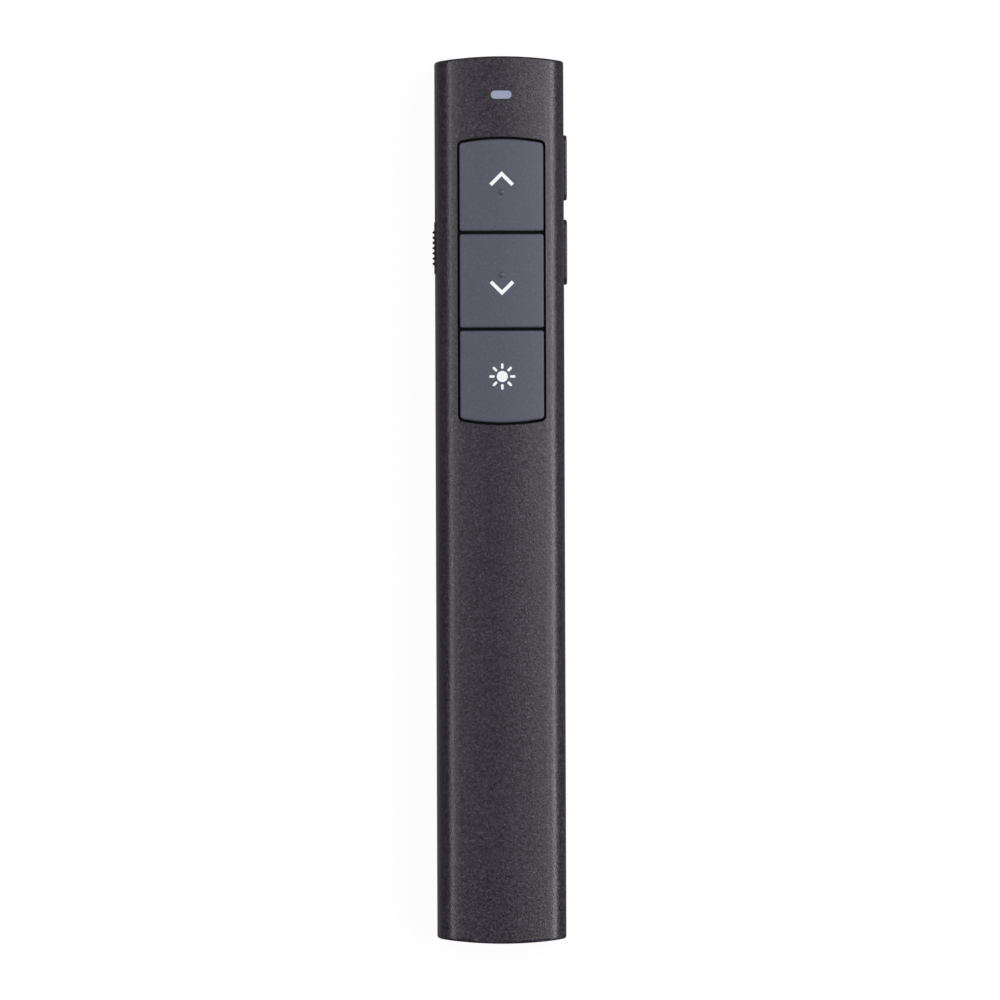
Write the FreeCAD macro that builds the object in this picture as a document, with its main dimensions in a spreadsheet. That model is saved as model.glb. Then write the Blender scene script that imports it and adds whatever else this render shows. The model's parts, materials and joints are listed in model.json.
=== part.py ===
import FreeCAD, Part
import math
import os
import re

import Sketcher

# A slim pen-type presentation clicker, in millimetres. The origin is under its
# middle, on the surface that it lies on. X points to the side keys, Y to the laser
# end and Z out of the face with the three large keys.

# Driving dimensions, one sheet cell each. A cut that starts or ends outside its solid
# runs 0.1 or 1 past the face, which is written where the cut is made.
SIZES = {
    # The case.
    "body_width": 19.5,
    "end_sweep": 62.0,
    "crown_radius": 45.0,
    "top_edge_radius": 3.6,
    "bottom_edge_radius": 3.0,
    "end_edge_radius": 0.45,
    "wall": 1.3,
    "end_wall": 1.7,
    "parting_height": 7.2,
    "seam_lip_height": 0.8,
    "seam_lip_width": 0.6,
    "seam_clearance": 0.05,
    "seam_bevel": 0.12,
    "rib_root": 0.25,
    # The three large keys and their recess.
    "recess_margin": 2.97,
    "nose_to_recess": 12.3,
    "recess_length": 44.25,
    "recess_sweep": 34.5,
    "recess_corner": 0.95,
    "skirt_wall": 0.9,
    "recess_to_upper_split": 14.72,
    "recess_to_lower_split": 29.52,
    "key_gap": 0.47,
    "key_side_gap": 0.35,
    "key_end_gap": 0.42,
    "key_corner": 0.35,
    "key_edge": 0.3,
    "key_proud": 0.35,
    "key_wall": 1.0,
    "key_roof": 1.1,
    "key_travel": 0.3,
    "flange_width": 0.97,
    "flange_thickness": 0.6,
    "flange_clearance": 0.05,
    "post_diameter": 2.4,
    "post_length": 0.3,
    "dot_diameter": 0.95,
    "dot_height": 0.25,
    "upper_dot_rise": 6.18,
    "lower_dot_rise": 8.32,
    # The switches under the keys.
    "switch_width": 4.5,
    "switch_height": 1.2,
    "switch_floor": 0.2,
    "plunger_diameter": 2.0,
    "plunger_clearance": 0.1,
    "plunger_height": 1.0,
    "rivet_diameter": 0.6,
    "rivet_height": 0.1,
    # The side keys.
    "side_key_length": 10.0,
    "side_key_height": 3.2,
    "side_key_corner": 1.2,
    "side_key_edge": 0.25,
    "side_key_proud": 0.6,
    "side_key_gap": 0.15,
    "side_key_travel": 0.3,
    "side_flange_margin": 0.5,
    "side_flange_thickness": 0.8,
    "side_axis_height": 6.6,
    "nose_to_upper_side_key": 17.06,
    "nose_to_lower_side_key": 30.0,
    "side_switch_depth": 2.8,
    "side_switch_height": 3.0,
    "side_plunger_diameter": 1.6,
    "side_plunger_reach": 0.65,
    "side_plunger_buried": 0.45,
    # The power slider.
    "nose_to_slider": 29.3,
    "slider_length": 7.87,
    "slider_height": 3.2,
    "slider_proud": 0.2,
    "slider_travel": 2.0,
    "slider_recess": 0.7,
    "slider_gap": 0.15,
    "slider_back_gap": 0.05,
    "rib_count": 7,
    "rib_pitch": 0.8,
    "rib_height": 0.35,
    "rib_base": 0.72,
    "rib_inset": 0.3,
    "rib_sunk": 0.05,
    "neck_length": 3.0,
    "neck_height": 1.6,
    "neck_reach": 1.2,
    "keeper_length": 6.4,
    "keeper_height": 2.6,
    "keeper_thickness": 0.45,
    "actuator_width": 1.2,
    "actuator_gap": 0.05,
    "actuator_buried": 0.4,
    "power_switch_length": 6.6,
    "power_switch_depth": 2.8,
    "power_switch_height": 2.6,
    "power_switch_gap": 0.3,
    # The circuit board.
    "board_side_room": 1.35,
    "board_length": 55.8,
    "nose_room": 1.8,
    "board_bottom": 8.0,
    "board_thickness": 1.0,
    "board_corner": 0.8,
    "stand_diameter": 3.0,
    "pin_diameter": 1.4,
    "pin_clearance": 0.1,
    "pin_height": 1.4,
    "stand_spread": 5.1,
    "lower_stand_inset": 4.7,
    "upper_stand_inset": 8.5,
    "clamp_width": 1.2,
    "clamp_clearance": 0.05,
    "lower_clamp_inset": 0.9,
    "lower_clamp_spread": 3.0,
    "upper_clamp_inset": 5.3,
    "upper_clamp_spread": 4.5,
    "chip_width": 5.0,
    "chip_height": 0.9,
    "chip_inset": 17.5,
    "crystal_length": 3.2,
    "crystal_width": 2.5,
    "crystal_height": 0.7,
    "crystal_corner": 0.4,
    "crystal_inset": 11.8,
    "capacitor_length": 1.6,
    "capacitor_width": 0.8,
    "capacitor_height": 0.8,
    "capacitor_pitch": 2.2,
    # The status light.
    "nose_to_light": 5.9,
    "light_length": 3.2,
    "light_width": 1.25,
    "light_clearance": 0.05,
    "light_inset": 0.03,
    "light_collar": 0.5,
    "light_collar_height": 0.6,
    "light_collar_gap": 0.12,
    "lamp_length": 1.6,
    "lamp_width": 0.8,
    "lamp_height": 0.6,
    "lamp_gap": 0.2,
    # The laser.
    "laser_height": 4.6,
    "barrel_diameter": 5.4,
    "barrel_bore": 3.8,
    "barrel_length": 8.7,
    "barrel_mouth": 3.0,
    "barrel_lip": 0.6,
    "lens_diameter": 3.7,
    "lens_thickness": 1.2,
    "lens_bulge": 4.0,
    "lens_rim": 0.35,
    "diode_flange": 3.7,
    "diode_can": 2.9,
    "diode_length": 2.4,
    "diode_flange_thickness": 0.5,
    "diode_pin": 0.4,
    "diode_pin_length": 1.4,
    "diode_pin_spread": 0.8,
    "driver_gap": 0.1,
    "driver_width": 4.4,
    "driver_length": 6.8,
    "driver_thickness": 0.8,
    "window_diameter": 4.4,
    "window_thickness": 0.8,
    "window_inset": 0.2,
    "window_clearance": 0.05,
    "aperture_diameter": 3.0,
    "cradle_clearance": 0.05,
    "cradle_width": 7.2,
    "cradle_thickness": 1.0,
    "front_cradle_back": 2.6,
    "rear_cradle_back": 7.6,
    "laser_lead_diameter": 0.6,
    "laser_lead_spread": 1.2,
    "laser_lead_back": 5.4,
    # The battery, of the AAA size, and its contacts.
    "cell_diameter": 10.5,
    "cell_length": 44.5,
    "cell_room_below": 0.35,
    "cell_room_above": 0.45,
    "cell_edge": 0.4,
    "nipple_diameter": 3.8,
    "nipple_height": 1.0,
    "contact_thickness": 0.3,
    "contact_width": 8.0,
    "contact_height": 8.0,
    "spring_space": 2.2,
    "spring_wire": 0.5,
    "spring_wide": 3.6,
    "spring_narrow": 2.1,
    "spring_seat_gap": 0.02,
    "partition": 0.8,
    "lead_diameter": 1.0,
    "lead_inset": 1.35,
    "lead_above_axis": 3.8,
    "lead_clearance": 0.2,
    "lead_shift": 1.4,
    "lead_straight_past": 3.6,
    "lead_board_inset": 2.5,
    "tab_height": 1.4,
    "tab_root": 0.5,
    # The screws that hold the shells together.
    "boss_diameter": 5.0,
    "top_boss_diameter": 4.4,
    "screw_head": 3.2,
    "screw_head_height": 1.1,
    "screw_head_gap": 0.1,
    "screw_head_sunk": 0.15,
    "screw_head_bevel": 0.3,
    "screw_shank": 1.7,
    "screw_shank_gap": 0.1,
    "screw_length": 8.0,
    "screw_tip_room": 0.4,
    "screw_slot": 0.45,
    "screw_slot_depth": 0.5,
    "screw_slot_length": 1.9,
    "front_screw_inset": 2.9,
    "front_block_length": 5.7,
    "rear_block_length": 5.2,
    # The battery cover.
    "cover_past_cell": 5.0,
    "cover_margin": 3.15,
    "cover_thickness": 1.4,
    "tongue_reach": 0.7,
    "tongue_low": 0.8,
    "cover_side_gap": 0.1,
    "cover_top_gap": 0.05,
    "bed_thickness": 0.8,
    "hatch_half": 5.6,
    "latch_half": 2.5,
    "latch_reach": 1.4,
    "latch_root": 1.0,
    "grip_back": 16.0,
    "grip_half": 4.0,
    "grip_length": 8.6,
    "grip_depth": 0.5,
    "grip_corner": 1.0,
    "ridge_width": 0.6,
    "ridge_pitch": 1.4,
    "ridge_count": 5,
    "ridge_inset": 1.0,
    "ridge_low": 0.05,
    # The receiver in the tail.
    "receiver_height": 7.6,
    "receiver_width": 13.4,
    "receiver_tall": 6.0,
    "receiver_head": 6.5,
    "receiver_corner": 1.0,
    "receiver_gap": 0.1,
    "groove_half": 4.0,
    "groove_height": 1.0,
    "groove_depth": 0.6,
    "plug_width": 12.0,
    "plug_tall": 4.5,
    "plug_length": 12.0,
    "plug_sheet": 0.3,
    "plug_corner": 0.6,
    "plug_hole": 2.2,
    "plug_hole_spread": 2.9,
    "plug_hole_back": 5.5,
    "tongue_width": 11.2,
    "tongue_thickness": 1.8,
    "tongue_short": 0.5,
    "bay_rib_place": 4.0,
    "bay_rib_width": 1.0,
}

SPRING_TURNS = 2

# Places that follow from the sizes.
PLACES = {
    "cell_axis": "cover_thickness + cell_room_below + cell_diameter / 2",
    "body_height": "cell_axis + cell_diameter / 2 + cell_room_above + wall",
    "battery_space": "2 * contact_thickness + spring_space + cell_length",
    "tail_space": "receiver_head + plug_length + rear_block_length",
    "nose_space": "front_block_length + board_length + nose_room + end_wall",
    "body_length": "tail_space + battery_space + nose_space",
    "half_length": "body_length / 2",
    "half_width": "body_width / 2",
    "inner_half": "half_width - wall",
    "inner_end": "half_length - end_wall",
    "ceiling": "body_height - wall",
    "key_top": "body_height + key_proud",
    "key_bottom": "plunger_top + post_length",
    "recess_width": "body_width - 2 * recess_margin",
    "recess_high": "half_length - nose_to_recess",
    "recess_low": "recess_high - recess_length",
    "upper_key_split": "recess_high - recess_to_upper_split",
    "lower_key_split": "recess_high - recess_to_lower_split",
    "upper_dot_place": "upper_key_split + upper_dot_rise",
    "lower_dot_place": "lower_key_split + lower_dot_rise",
    "upper_side_key_place": "half_length - nose_to_upper_side_key",
    "lower_side_key_place": "half_length - nose_to_lower_side_key",
    "slider_place": "half_length - nose_to_slider",
    "light_place": "half_length - nose_to_light",
    "board_width": "2 * (inner_half - board_side_room)",
    "board_high": "inner_end - nose_room",
    "board_low": "board_high - board_length",
    "lower_stand_place": "board_low + lower_stand_inset",
    "upper_stand_place": "board_high - upper_stand_inset",
    "lower_clamp_place": "board_low + lower_clamp_inset",
    "upper_clamp_place": "board_high - upper_clamp_inset",
    "chip_place": "board_low + chip_inset",
    "crystal_place": "board_low + crystal_inset",
    "key_half": "recess_width / 2 - key_side_gap",
    "key_stop": "key_bottom + flange_thickness + flange_clearance",
    "board_top": "board_bottom + board_thickness",
    "switch_top": "board_top + switch_height",
    "plunger_bottom": "board_top + switch_floor + key_travel + plunger_clearance",
    "plunger_top": "plunger_bottom + plunger_height",
    "side_key_inner": "inner_half - flange_clearance - side_flange_thickness",
    "side_switch_face": "side_key_inner - side_plunger_reach",
    "slider_floor": "half_width - slider_recess",
    "slider_back": "slider_floor + slider_back_gap",
    "neck_inner": "inner_half - neck_reach",
    "power_switch_face": "neck_inner - power_switch_gap",
    "negative_face": "tail_space - half_length",
    "negative_plate": "negative_face + contact_thickness",
    "cell_foot": "negative_plate + spring_space",
    "cell_tip": "cell_foot + cell_length",
    "positive_face": "cell_tip + contact_thickness",
    "lead_side": "inner_half - lead_inset",
    "lead_height": "cell_axis + lead_above_axis",
    "front_screw_place": "positive_face + front_screw_inset",
    "rear_screw_place": "negative_face - rear_block_length / 2",
    "cover_front": "positive_face + cover_past_cell",
    "cover_half": "half_width - cover_margin",
    "grip_place": "cover_front - grip_back",
    "bed_bottom": "cover_thickness + cover_top_gap",
    "bed_top": "bed_bottom + bed_thickness",
    "head_seat": "bed_bottom + screw_head_sunk + screw_head_height",
    "screw_tip": "head_seat + screw_length",
    "window_back": "half_length - window_inset - window_thickness",
    "barrel_back": "inner_end - barrel_length",
    "receiver_face": "half_length - receiver_head",
    "plug_end": "receiver_face - plug_length",
    "light_collar_top": "ceiling - light_collar_gap",
    "shoulder": "(receiver_face - receiver_gap)",
    "head_roof": "receiver_height + receiver_tall / 2 + receiver_gap",
    "head_floor": "receiver_height - receiver_tall / 2 - receiver_gap",
    "plug_roof": "receiver_height + plug_tall / 2 + receiver_gap",
    "plug_floor": "receiver_height - plug_tall / 2 - receiver_gap",
    "sweep_room": "recess_sweep - sqrt(recess_sweep^2 - (key_half - key_wall)^2)",
}

AXIS_PLANES = {"X": "YZ_Plane", "Y": "XZ_Plane", "Z": "XY_Plane"}
HALF_ROUND = "half round"


def bound(text):
    """Write out an expression with its places expanded and its sizes tied to the sheet."""
    def swap(match):
        name = match.group()
        if name in PLACES:
            return "(%s)" % bound(PLACES[name])
        return "dims." + name if name in SIZES else name
    return re.sub(r"[a-z][a-z_]*", swap, text)


def value(text):
    """The number that an expression comes to."""
    return float(FreeCAD.ActiveDocument.getObject("dims").evalExpression(bound(text)))


def make_sheet(document):
    sheet = document.addObject("Spreadsheet::Sheet", "dims")
    for row, (name, size) in enumerate(SIZES.items(), start=1):
        sheet.set("A%d" % row, name)
        sheet.set("B%d" % row, str(size))
        sheet.setAlias("B%d" % row, name)
    document.recompute()


def new_body(name):
    body = FreeCAD.ActiveDocument.addObject("PartDesign::Body", name)
    body.Label = name
    return body


def origin_part(body, role):
    """One of the body's own origin planes or axes."""
    return {feature.Role: feature for feature in body.Origin.OriginFeatures}[role]


def place(body, across="0", along="0", up="0"):
    """Put the whole body at a place bound to the sheet."""
    for side, text in zip("xyz", (across, along, up)):
        body.setExpression("Placement.Base." + side, bound(text))


# Outlines. Each function returns one that draws itself on a sketch, fully bound.


def pin(sketch, geometry, end, spot):
    """Tie one end of a line or arc to its place from the sketch's origin."""
    for kind, text in zip(("DistanceX", "DistanceY"), spot):
        constraint = Sketcher.Constraint(kind, -1, 1, geometry, end, value(text))
        number = sketch.addConstraint(constraint)
        sketch.setExpression("Constraints[%d]" % number, bound(text))


def bend_middle(start, finish, radius, hollow):
    """The point halfway along an arc that swells to the right of its travel, or to its left."""
    run = finish - start
    half = run.Length / 2
    rise = radius - math.sqrt(max(radius ** 2 - half ** 2, 0.0))
    aside = FreeCAD.Vector(run.y, -run.x, 0).normalize()
    return (start + finish) / 2 + aside * (-rise if hollow else rise)


def add_side(sketch, start, finish, bend):
    """Add one side of an outline, and return the numbers of its first and last end."""
    if bend is None:
        sketch.addGeometry(Part.LineSegment(start, finish), False)
        return 1, 2
    hollow = bend.startswith("-")
    radius = (finish - start).Length / 2 if bend == HALF_ROUND else value(bend.lstrip("-"))
    middle = bend_middle(start, finish, radius, hollow)
    if hollow:
        sketch.addGeometry(Part.Arc(finish, middle, start), False)
        return 2, 1
    sketch.addGeometry(Part.Arc(start, middle, finish), False)
    return 1, 2


def bind_bend(sketch, geometry, bend, start, finish):
    """Tie an arc's radius to the sheet, or a half circle's centre to the line of its ends."""
    if bend != HALF_ROUND:
        text = bend.lstrip("-")
        number = sketch.addConstraint(Sketcher.Constraint("Radius", geometry, value(text)))
        sketch.setExpression("Constraints[%d]" % number, bound(text))
        return
    upright = abs(value(start[0]) - value(finish[0])) < abs(value(start[1]) - value(finish[1]))
    kind, text = ("DistanceX", start[0]) if upright else ("DistanceY", start[1])
    number = sketch.addConstraint(Sketcher.Constraint(kind, -1, 1, geometry, 3, value(text)))
    sketch.setExpression("Constraints[%d]" % number, bound(text))


def outline(corners, bends=None):
    """A closed outline through its corners, counter-clockwise, with arcs on some sides.

    A bend is the radius of a side's arc. With a minus sign the side is hollow.
    """
    bends = bends or {}

    def draw(sketch):
        spots = [FreeCAD.Vector(value(across), value(up), 0) for across, up in corners]
        first = sketch.GeometryCount
        count = len(spots)
        ends = [add_side(sketch, spots[side], spots[(side + 1) % count], bends.get(side))
                for side in range(count)]
        for side in range(count):
            following = (side + 1) % count
            sketch.addConstraint(Sketcher.Constraint(
                "Coincident", first + side, ends[side][1], first + following, ends[following][0]))
            pin(sketch, first + side, ends[side][0], corners[side])
        for side, bend in bends.items():
            bind_bend(sketch, first + side, bend, corners[side], corners[(side + 1) % count])
    return draw


def disc(across, up, diameter):
    def draw(sketch):
        middle = FreeCAD.Vector(value(across), value(up), 0)
        round_edge = Part.Circle(middle, FreeCAD.Vector(0, 0, 1), value(diameter) / 2)
        geometry = sketch.addGeometry(round_edge, False)
        pin(sketch, geometry, 3, (across, up))
        number = sketch.addConstraint(Sketcher.Constraint("Radius", geometry, value(diameter) / 2))
        sketch.setExpression("Constraints[%d]" % number, bound("(%s) / 2" % diameter))
    return draw


def rectangle(left, right, low, high):
    return outline([(left, low), (right, low), (right, high), (left, high)])


def centred(across, up, width, height):
    """A rectangle about a middle point."""
    return rectangle("%s - (%s) / 2" % (across, width), "%s + (%s) / 2" % (across, width),
                     "%s - (%s) / 2" % (up, height), "%s + (%s) / 2" % (up, height))


def rounded(across, up, width, height, corner):
    """A rectangle about a middle point with round corners."""
    left = "%s - (%s) / 2" % (across, width)
    right = "%s + (%s) / 2" % (across, width)
    low = "%s - (%s) / 2" % (up, height)
    high = "%s + (%s) / 2" % (up, height)
    inset = "(%s)" % corner
    corners = [(left + " + " + inset, low), (right + " - " + inset, low),
               (right, low + " + " + inset), (right, high + " - " + inset),
               (right + " - " + inset, high), (left + " + " + inset, high),
               (left, high + " - " + inset), (left, low + " + " + inset)]
    return outline(corners, {side: corner for side in (1, 3, 5, 7)})


def stadium(across, up, length, width):
    """A slot with half round ends, lying across."""
    half = "((%s) - (%s)) / 2" % (length, width)
    left = "%s - %s" % (across, half)
    right = "%s + %s" % (across, half)
    low = "%s - (%s) / 2" % (up, width)
    high = "%s + (%s) / 2" % (up, width)
    corners = [(left, low), (right, low), (right, high), (left, high)]
    return outline(corners, {1: HALF_ROUND, 3: HALF_ROUND})


def flat_end(level, corner=None):
    """A straight end of a barrel outline: its level, its arc's radius and its corners'."""
    return level, None, corner


def swept_end(apex, sweep, corner):
    return apex, sweep, corner


def end_corners(half, end, sign):
    """The right-hand corner points of a barrel's end, from its side to its middle."""
    level, sweep, corner = end
    if sweep is None and corner is None:
        return [(half, level)]
    if sweep is None:
        shift = "-" if sign > 0 else "+"
        return [(half, "%s %s %s" % (level, shift, corner)), ("%s - %s" % (half, corner), level)]
    turn = "" if sign > 0 else "-"
    rise = "sqrt((%s - %s)^2 - (%s - %s)^2)" % (sweep, corner, half, corner)
    middle = "%s - %s(%s)" % (level, turn, sweep)
    side = "%s + %s%s" % (middle, turn, rise)
    along = "%s + %s%s * (%s) / (%s - %s)" % (middle, turn, rise, sweep, sweep, corner)
    across = "(%s - %s) * (%s) / (%s - %s)" % (half, corner, sweep, sweep, corner)
    return [(half, side), (across, along)]


def barrel(half, low, high):
    """An outline with straight sides and two ends, each flat or swept, with its own corners."""
    def mirrored(spots):
        return [("-(%s)" % across, up) for across, up in spots]
    low_right = end_corners(half, low, -1)
    high_right = end_corners(half, high, 1)
    corners = mirrored(low_right) + low_right[::-1] + high_right + mirrored(high_right)[::-1]
    bends = {}
    for first, (level, sweep, corner), spots in ((0, low, low_right),
                                                 (2 * len(low_right), high, high_right)):
        if corner is not None:
            bends[first] = corner
            bends[first + 2] = corner
        if sweep is not None:
            bends[first + len(spots) - 1] = sweep
    return outline(corners, bends)


# Features.


def open_sketch(body, name, axis, start):
    """A sketch square to an axis, at a bound place along it."""
    sketch = body.newObject("Sketcher::SketchObject", name + "_sketch")
    sketch.AttachmentSupport = [(origin_part(body, AXIS_PLANES[axis]), "")]
    sketch.MapMode = "FlatFace"
    sign = "-1" if axis == "Y" else "1"
    sketch.setExpression("AttachmentOffset.Base.z", "%s * (%s)" % (sign, bound(start)))
    return sketch


def extrude(body, kind, name, axis, start, finish, shapes):
    sketch = open_sketch(body, name, axis, start)
    for draw in shapes:
        draw(sketch)
    sketch.Visibility = False
    feature = body.newObject(kind, name)
    feature.Profile = sketch
    feature.setExpression("Length", "(%s) - (%s)" % (bound(finish), bound(start)))
    feature.Reversed = (kind == "PartDesign::Pocket") != (axis == "Y")
    return feature


def grow(body, name, axis, start, finish, *shapes):
    """Add material between two places on an axis."""
    return extrude(body, "PartDesign::Pad", name, axis, start, finish, shapes)


def cut(body, name, axis, start, finish, *shapes):
    """Take material away between two places on an axis."""
    return extrude(body, "PartDesign::Pocket", name, axis, start, finish, shapes)


def spin(body, name, axis, *shapes):
    """Turn outlines, drawn from an axis outwards, once round that axis."""
    sketch = open_sketch(body, name, {"Y": "Z", "Z": "Y"}[axis], "0")
    for draw in shapes:
        draw(sketch)
    feature = body.newObject("PartDesign::Revolution", name)
    feature.Profile = sketch
    feature.ReferenceAxis = (origin_part(body, axis + "_Axis"), [""])
    feature.Angle = 360
    return feature


def repeat(body, name, feature, axis, count, pitch):
    """Repeat a feature in a straight row."""
    pattern = body.newObject("PartDesign::LinearPattern", name)
    pattern.Originals = [feature]
    pattern.Direction = (origin_part(body, axis + "_Axis"), [""])
    pattern.setExpression("Occurrences", bound(count))
    pattern.setExpression("Length", bound("(%s - 1) * (%s)" % (count, pitch)))
    body.Tip = pattern
    return pattern


def repeat_round(body, name, feature, axis, count):
    """Repeat a feature evenly round an axis of the body."""
    pattern = body.newObject("PartDesign::PolarPattern", name)
    pattern.Originals = [feature]
    pattern.Axis = (origin_part(body, axis + "_Axis"), [""])
    pattern.Occurrences = count
    pattern.Angle = 360
    body.Tip = pattern
    return pattern


def soften(body, name, radius, wanted, kind="Fillet"):
    """Round or bevel the edges of the body so far that the given test picks."""
    FreeCAD.ActiveDocument.recompute()
    base = body.Tip
    edges = ["Edge%d" % (number + 1) for number, edge in enumerate(base.Shape.Edges) if wanted(edge)]
    feature = body.newObject("PartDesign::" + kind, name)
    feature.Base = (base, edges)
    feature.setExpression("Radius" if kind == "Fillet" else "Size", bound(radius))
    return feature


def lies_at(edge, side, text):
    """Whether a whole edge lies at one place on an axis."""
    box = edge.BoundBox
    low, high = {"x": (box.XMin, box.XMax), "y": (box.YMin, box.YMax), "z": (box.ZMin, box.ZMax)}[side]
    level = value(text)
    return abs(low - level) < 1e-4 and abs(high - level) < 1e-4


def bounds_of(body, side, last=True):
    """A test for the edges round the face that lies furthest along an axis."""
    FreeCAD.ActiveDocument.recompute()
    faces = body.Tip.Shape.Faces
    pick = max if last else min
    face = pick(faces, key=lambda one: getattr(one.CenterOfMass, side))
    return lambda edge: any(edge.isSame(other) for other in face.Edges)


# The case.


def cavity_section(low, growth="0"):
    """The hollow's cross-section above a level, or one a little larger."""
    high = swept_end("ceiling + " + growth, "crown_radius - wall + " + growth,
                     "(top_edge_radius - wall + %s)" % growth)
    return barrel("(inner_half + %s)" % growth, flat_end(low), high)


def sweep_ends(body):
    """Cut both ends to the shallow arc that the case shows from the front."""
    reach = "(half_width + 1)"
    side = "(half_length - end_sweep + sqrt(end_sweep^2 - %s^2))" % reach
    beyond = "(half_length + 2)"
    nose = outline([("-" + reach, side), (reach, side), (reach, beyond), ("-" + reach, beyond)],
                   {0: "-end_sweep"})
    tail = outline([("-" + reach, "-" + beyond), (reach, "-" + beyond), (reach, "-" + side),
                    ("-" + reach, "-" + side)], {2: "-end_sweep"})
    cut(body, "end_sweeps", "Z", "-1", "body_height + 1", nose, tail)


def round_ends(body, spared):
    """Round the rim of both swept end faces, apart from the edges on one level."""
    def on_rim(edge):
        if spared is not None and lies_at(edge, "z", spared):
            return False
        faces = [face for face in body.Tip.Shape.Faces if is_swept(face)]
        return any(edge.isSame(other) for face in faces for other in face.Edges)
    soften(body, "end_rims", "end_edge_radius", on_rim)


def bevel_seam(body):
    """A fine bevel round the outside of the parting edge, which makes the seam a groove."""
    soften(body, "seam_groove", "seam_bevel", lambda edge: lies_at(edge, "z", "parting_height"),
           kind="Chamfer")


def is_swept(face):
    surface = face.Surface
    return isinstance(surface, Part.Cylinder) and abs(surface.Radius - value("end_sweep")) < 1e-4


def cut_side_keys(body):
    """Open the right side for the two side keys."""
    for name, spot in (("upper", "upper_side_key_place"), ("lower", "lower_side_key_place")):
        cut(body, name + "_side_opening", "X", "inner_half - 0.1", "half_width + 1",
            rounded(spot, "side_axis_height", "side_key_length + 2 * side_key_gap",
                    "side_key_height + 2 * side_key_gap", "(side_key_corner + side_key_gap)"))


def cut_slider(body):
    """Sink the slider's recess into the left side."""
    middle = "slider_place + slider_travel / 2"
    cut(body, "slider_recess_cut", "X", "-half_width - 1", "-slider_floor",
        centred(middle, "side_axis_height", "slider_length + slider_travel + 2 * slider_gap",
                "slider_height + 2 * slider_gap"))


def cut_slider_slot(body):
    """Open the recess's floor for the slider's neck."""
    middle = "slider_place + slider_travel / 2"
    cut(body, "slider_slot_cut", "X", "-half_width", "-inner_half + 0.1",
        centred(middle, "side_axis_height", "neck_length + slider_travel + 2 * slider_gap",
                "neck_height + 2 * slider_gap"))


def cut_receiver_door(body):
    """Open the tail for the receiver's head."""
    cut(body, "receiver_door", "Y", "-half_length - 1", "-inner_end + 0.1",
        rounded("0", "receiver_height", "receiver_width + 2 * receiver_gap",
                "receiver_tall + 2 * receiver_gap", "(receiver_corner + receiver_gap)"))


def add_bay_guides(body, low, high):
    """Rails beside the receiver's head and its plug, in one of the shells."""
    outer = "(inner_half + rib_root)"
    head = "(receiver_width / 2 + receiver_gap)"
    plug = "(plug_width / 2 + receiver_gap)"
    tail = "(-inner_end - rib_root)"
    right = [(head, tail), (outer, tail), (outer, "-plug_end"), (plug, "-plug_end"),
             (plug, "-shoulder"), (head, "-shoulder")]
    left = [("-" + across, up) for across, up in reversed(right)]
    grow(body, "bay_guides", "Z", low, high, outline(right), outline(left))


def add_bay_ribs(body, profile):
    """Two stepped ribs that the receiver's head and plug run on."""
    for name, middle in (("right", "bay_rib_place"), ("left", "-bay_rib_place")):
        grow(body, name + "_bay_rib", "X", middle + " - bay_rib_width / 2",
             middle + " + bay_rib_width / 2", outline(profile))


def top_shell():
    body = new_body("top_shell")
    grow(body, "block", "Y", "-half_length", "half_length",
         barrel("half_width", flat_end("parting_height"),
                swept_end("body_height", "crown_radius", "top_edge_radius")))
    sweep_ends(body)
    round_ends(body, "parting_height")
    bevel_seam(body)
    cut(body, "hollow", "Y", "-inner_end", "inner_end", cavity_section("parting_height - 1"))
    add_key_skirt(body)
    add_top_ribs(body)
    cut_seam_rebate(body)
    cut_receiver_door(body)
    cut_side_keys(body)
    cut_slider(body)
    cut(body, "light_hole", "Z", "ceiling - 1", "body_height + 1",
        stadium("0", "light_place", "light_length + 2 * light_clearance",
                "light_width + 2 * light_clearance"))
    return body


def cut_seam_rebate(body):
    """Room all round for the bottom shell's lip, cut through the ribs as well."""
    rebate = "seam_lip_width + seam_clearance"
    cut(body, "seam_rebate", "Z", "parting_height", "parting_height + seam_lip_height + seam_clearance",
        centred("0", "0", "2 * (inner_half + %s)" % rebate, "2 * (inner_end + %s)" % rebate),
        centred("0", "0", "2 * (inner_half - seam_clearance)", "2 * (inner_end - seam_clearance)"))


def recess_outline(growth="0"):
    """The recess of the three keys, or one a little larger."""
    sweep = "(recess_sweep + %s)" % growth
    corner = "(recess_corner + %s)" % growth
    return barrel("(recess_width / 2 + %s)" % growth,
                  swept_end("(recess_low - %s)" % growth, sweep, corner),
                  swept_end("(recess_high + %s)" % growth, sweep, corner))


def add_key_skirt(body):
    """A flat-bottomed rim round the recess, which stops the keys' flanges."""
    grow(body, "key_skirt", "Z", "key_stop", "ceiling + rib_root", recess_outline("skirt_wall"))
    cut(body, "key_recess", "Z", "key_stop - 1", "body_height + 1", recess_outline())


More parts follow.
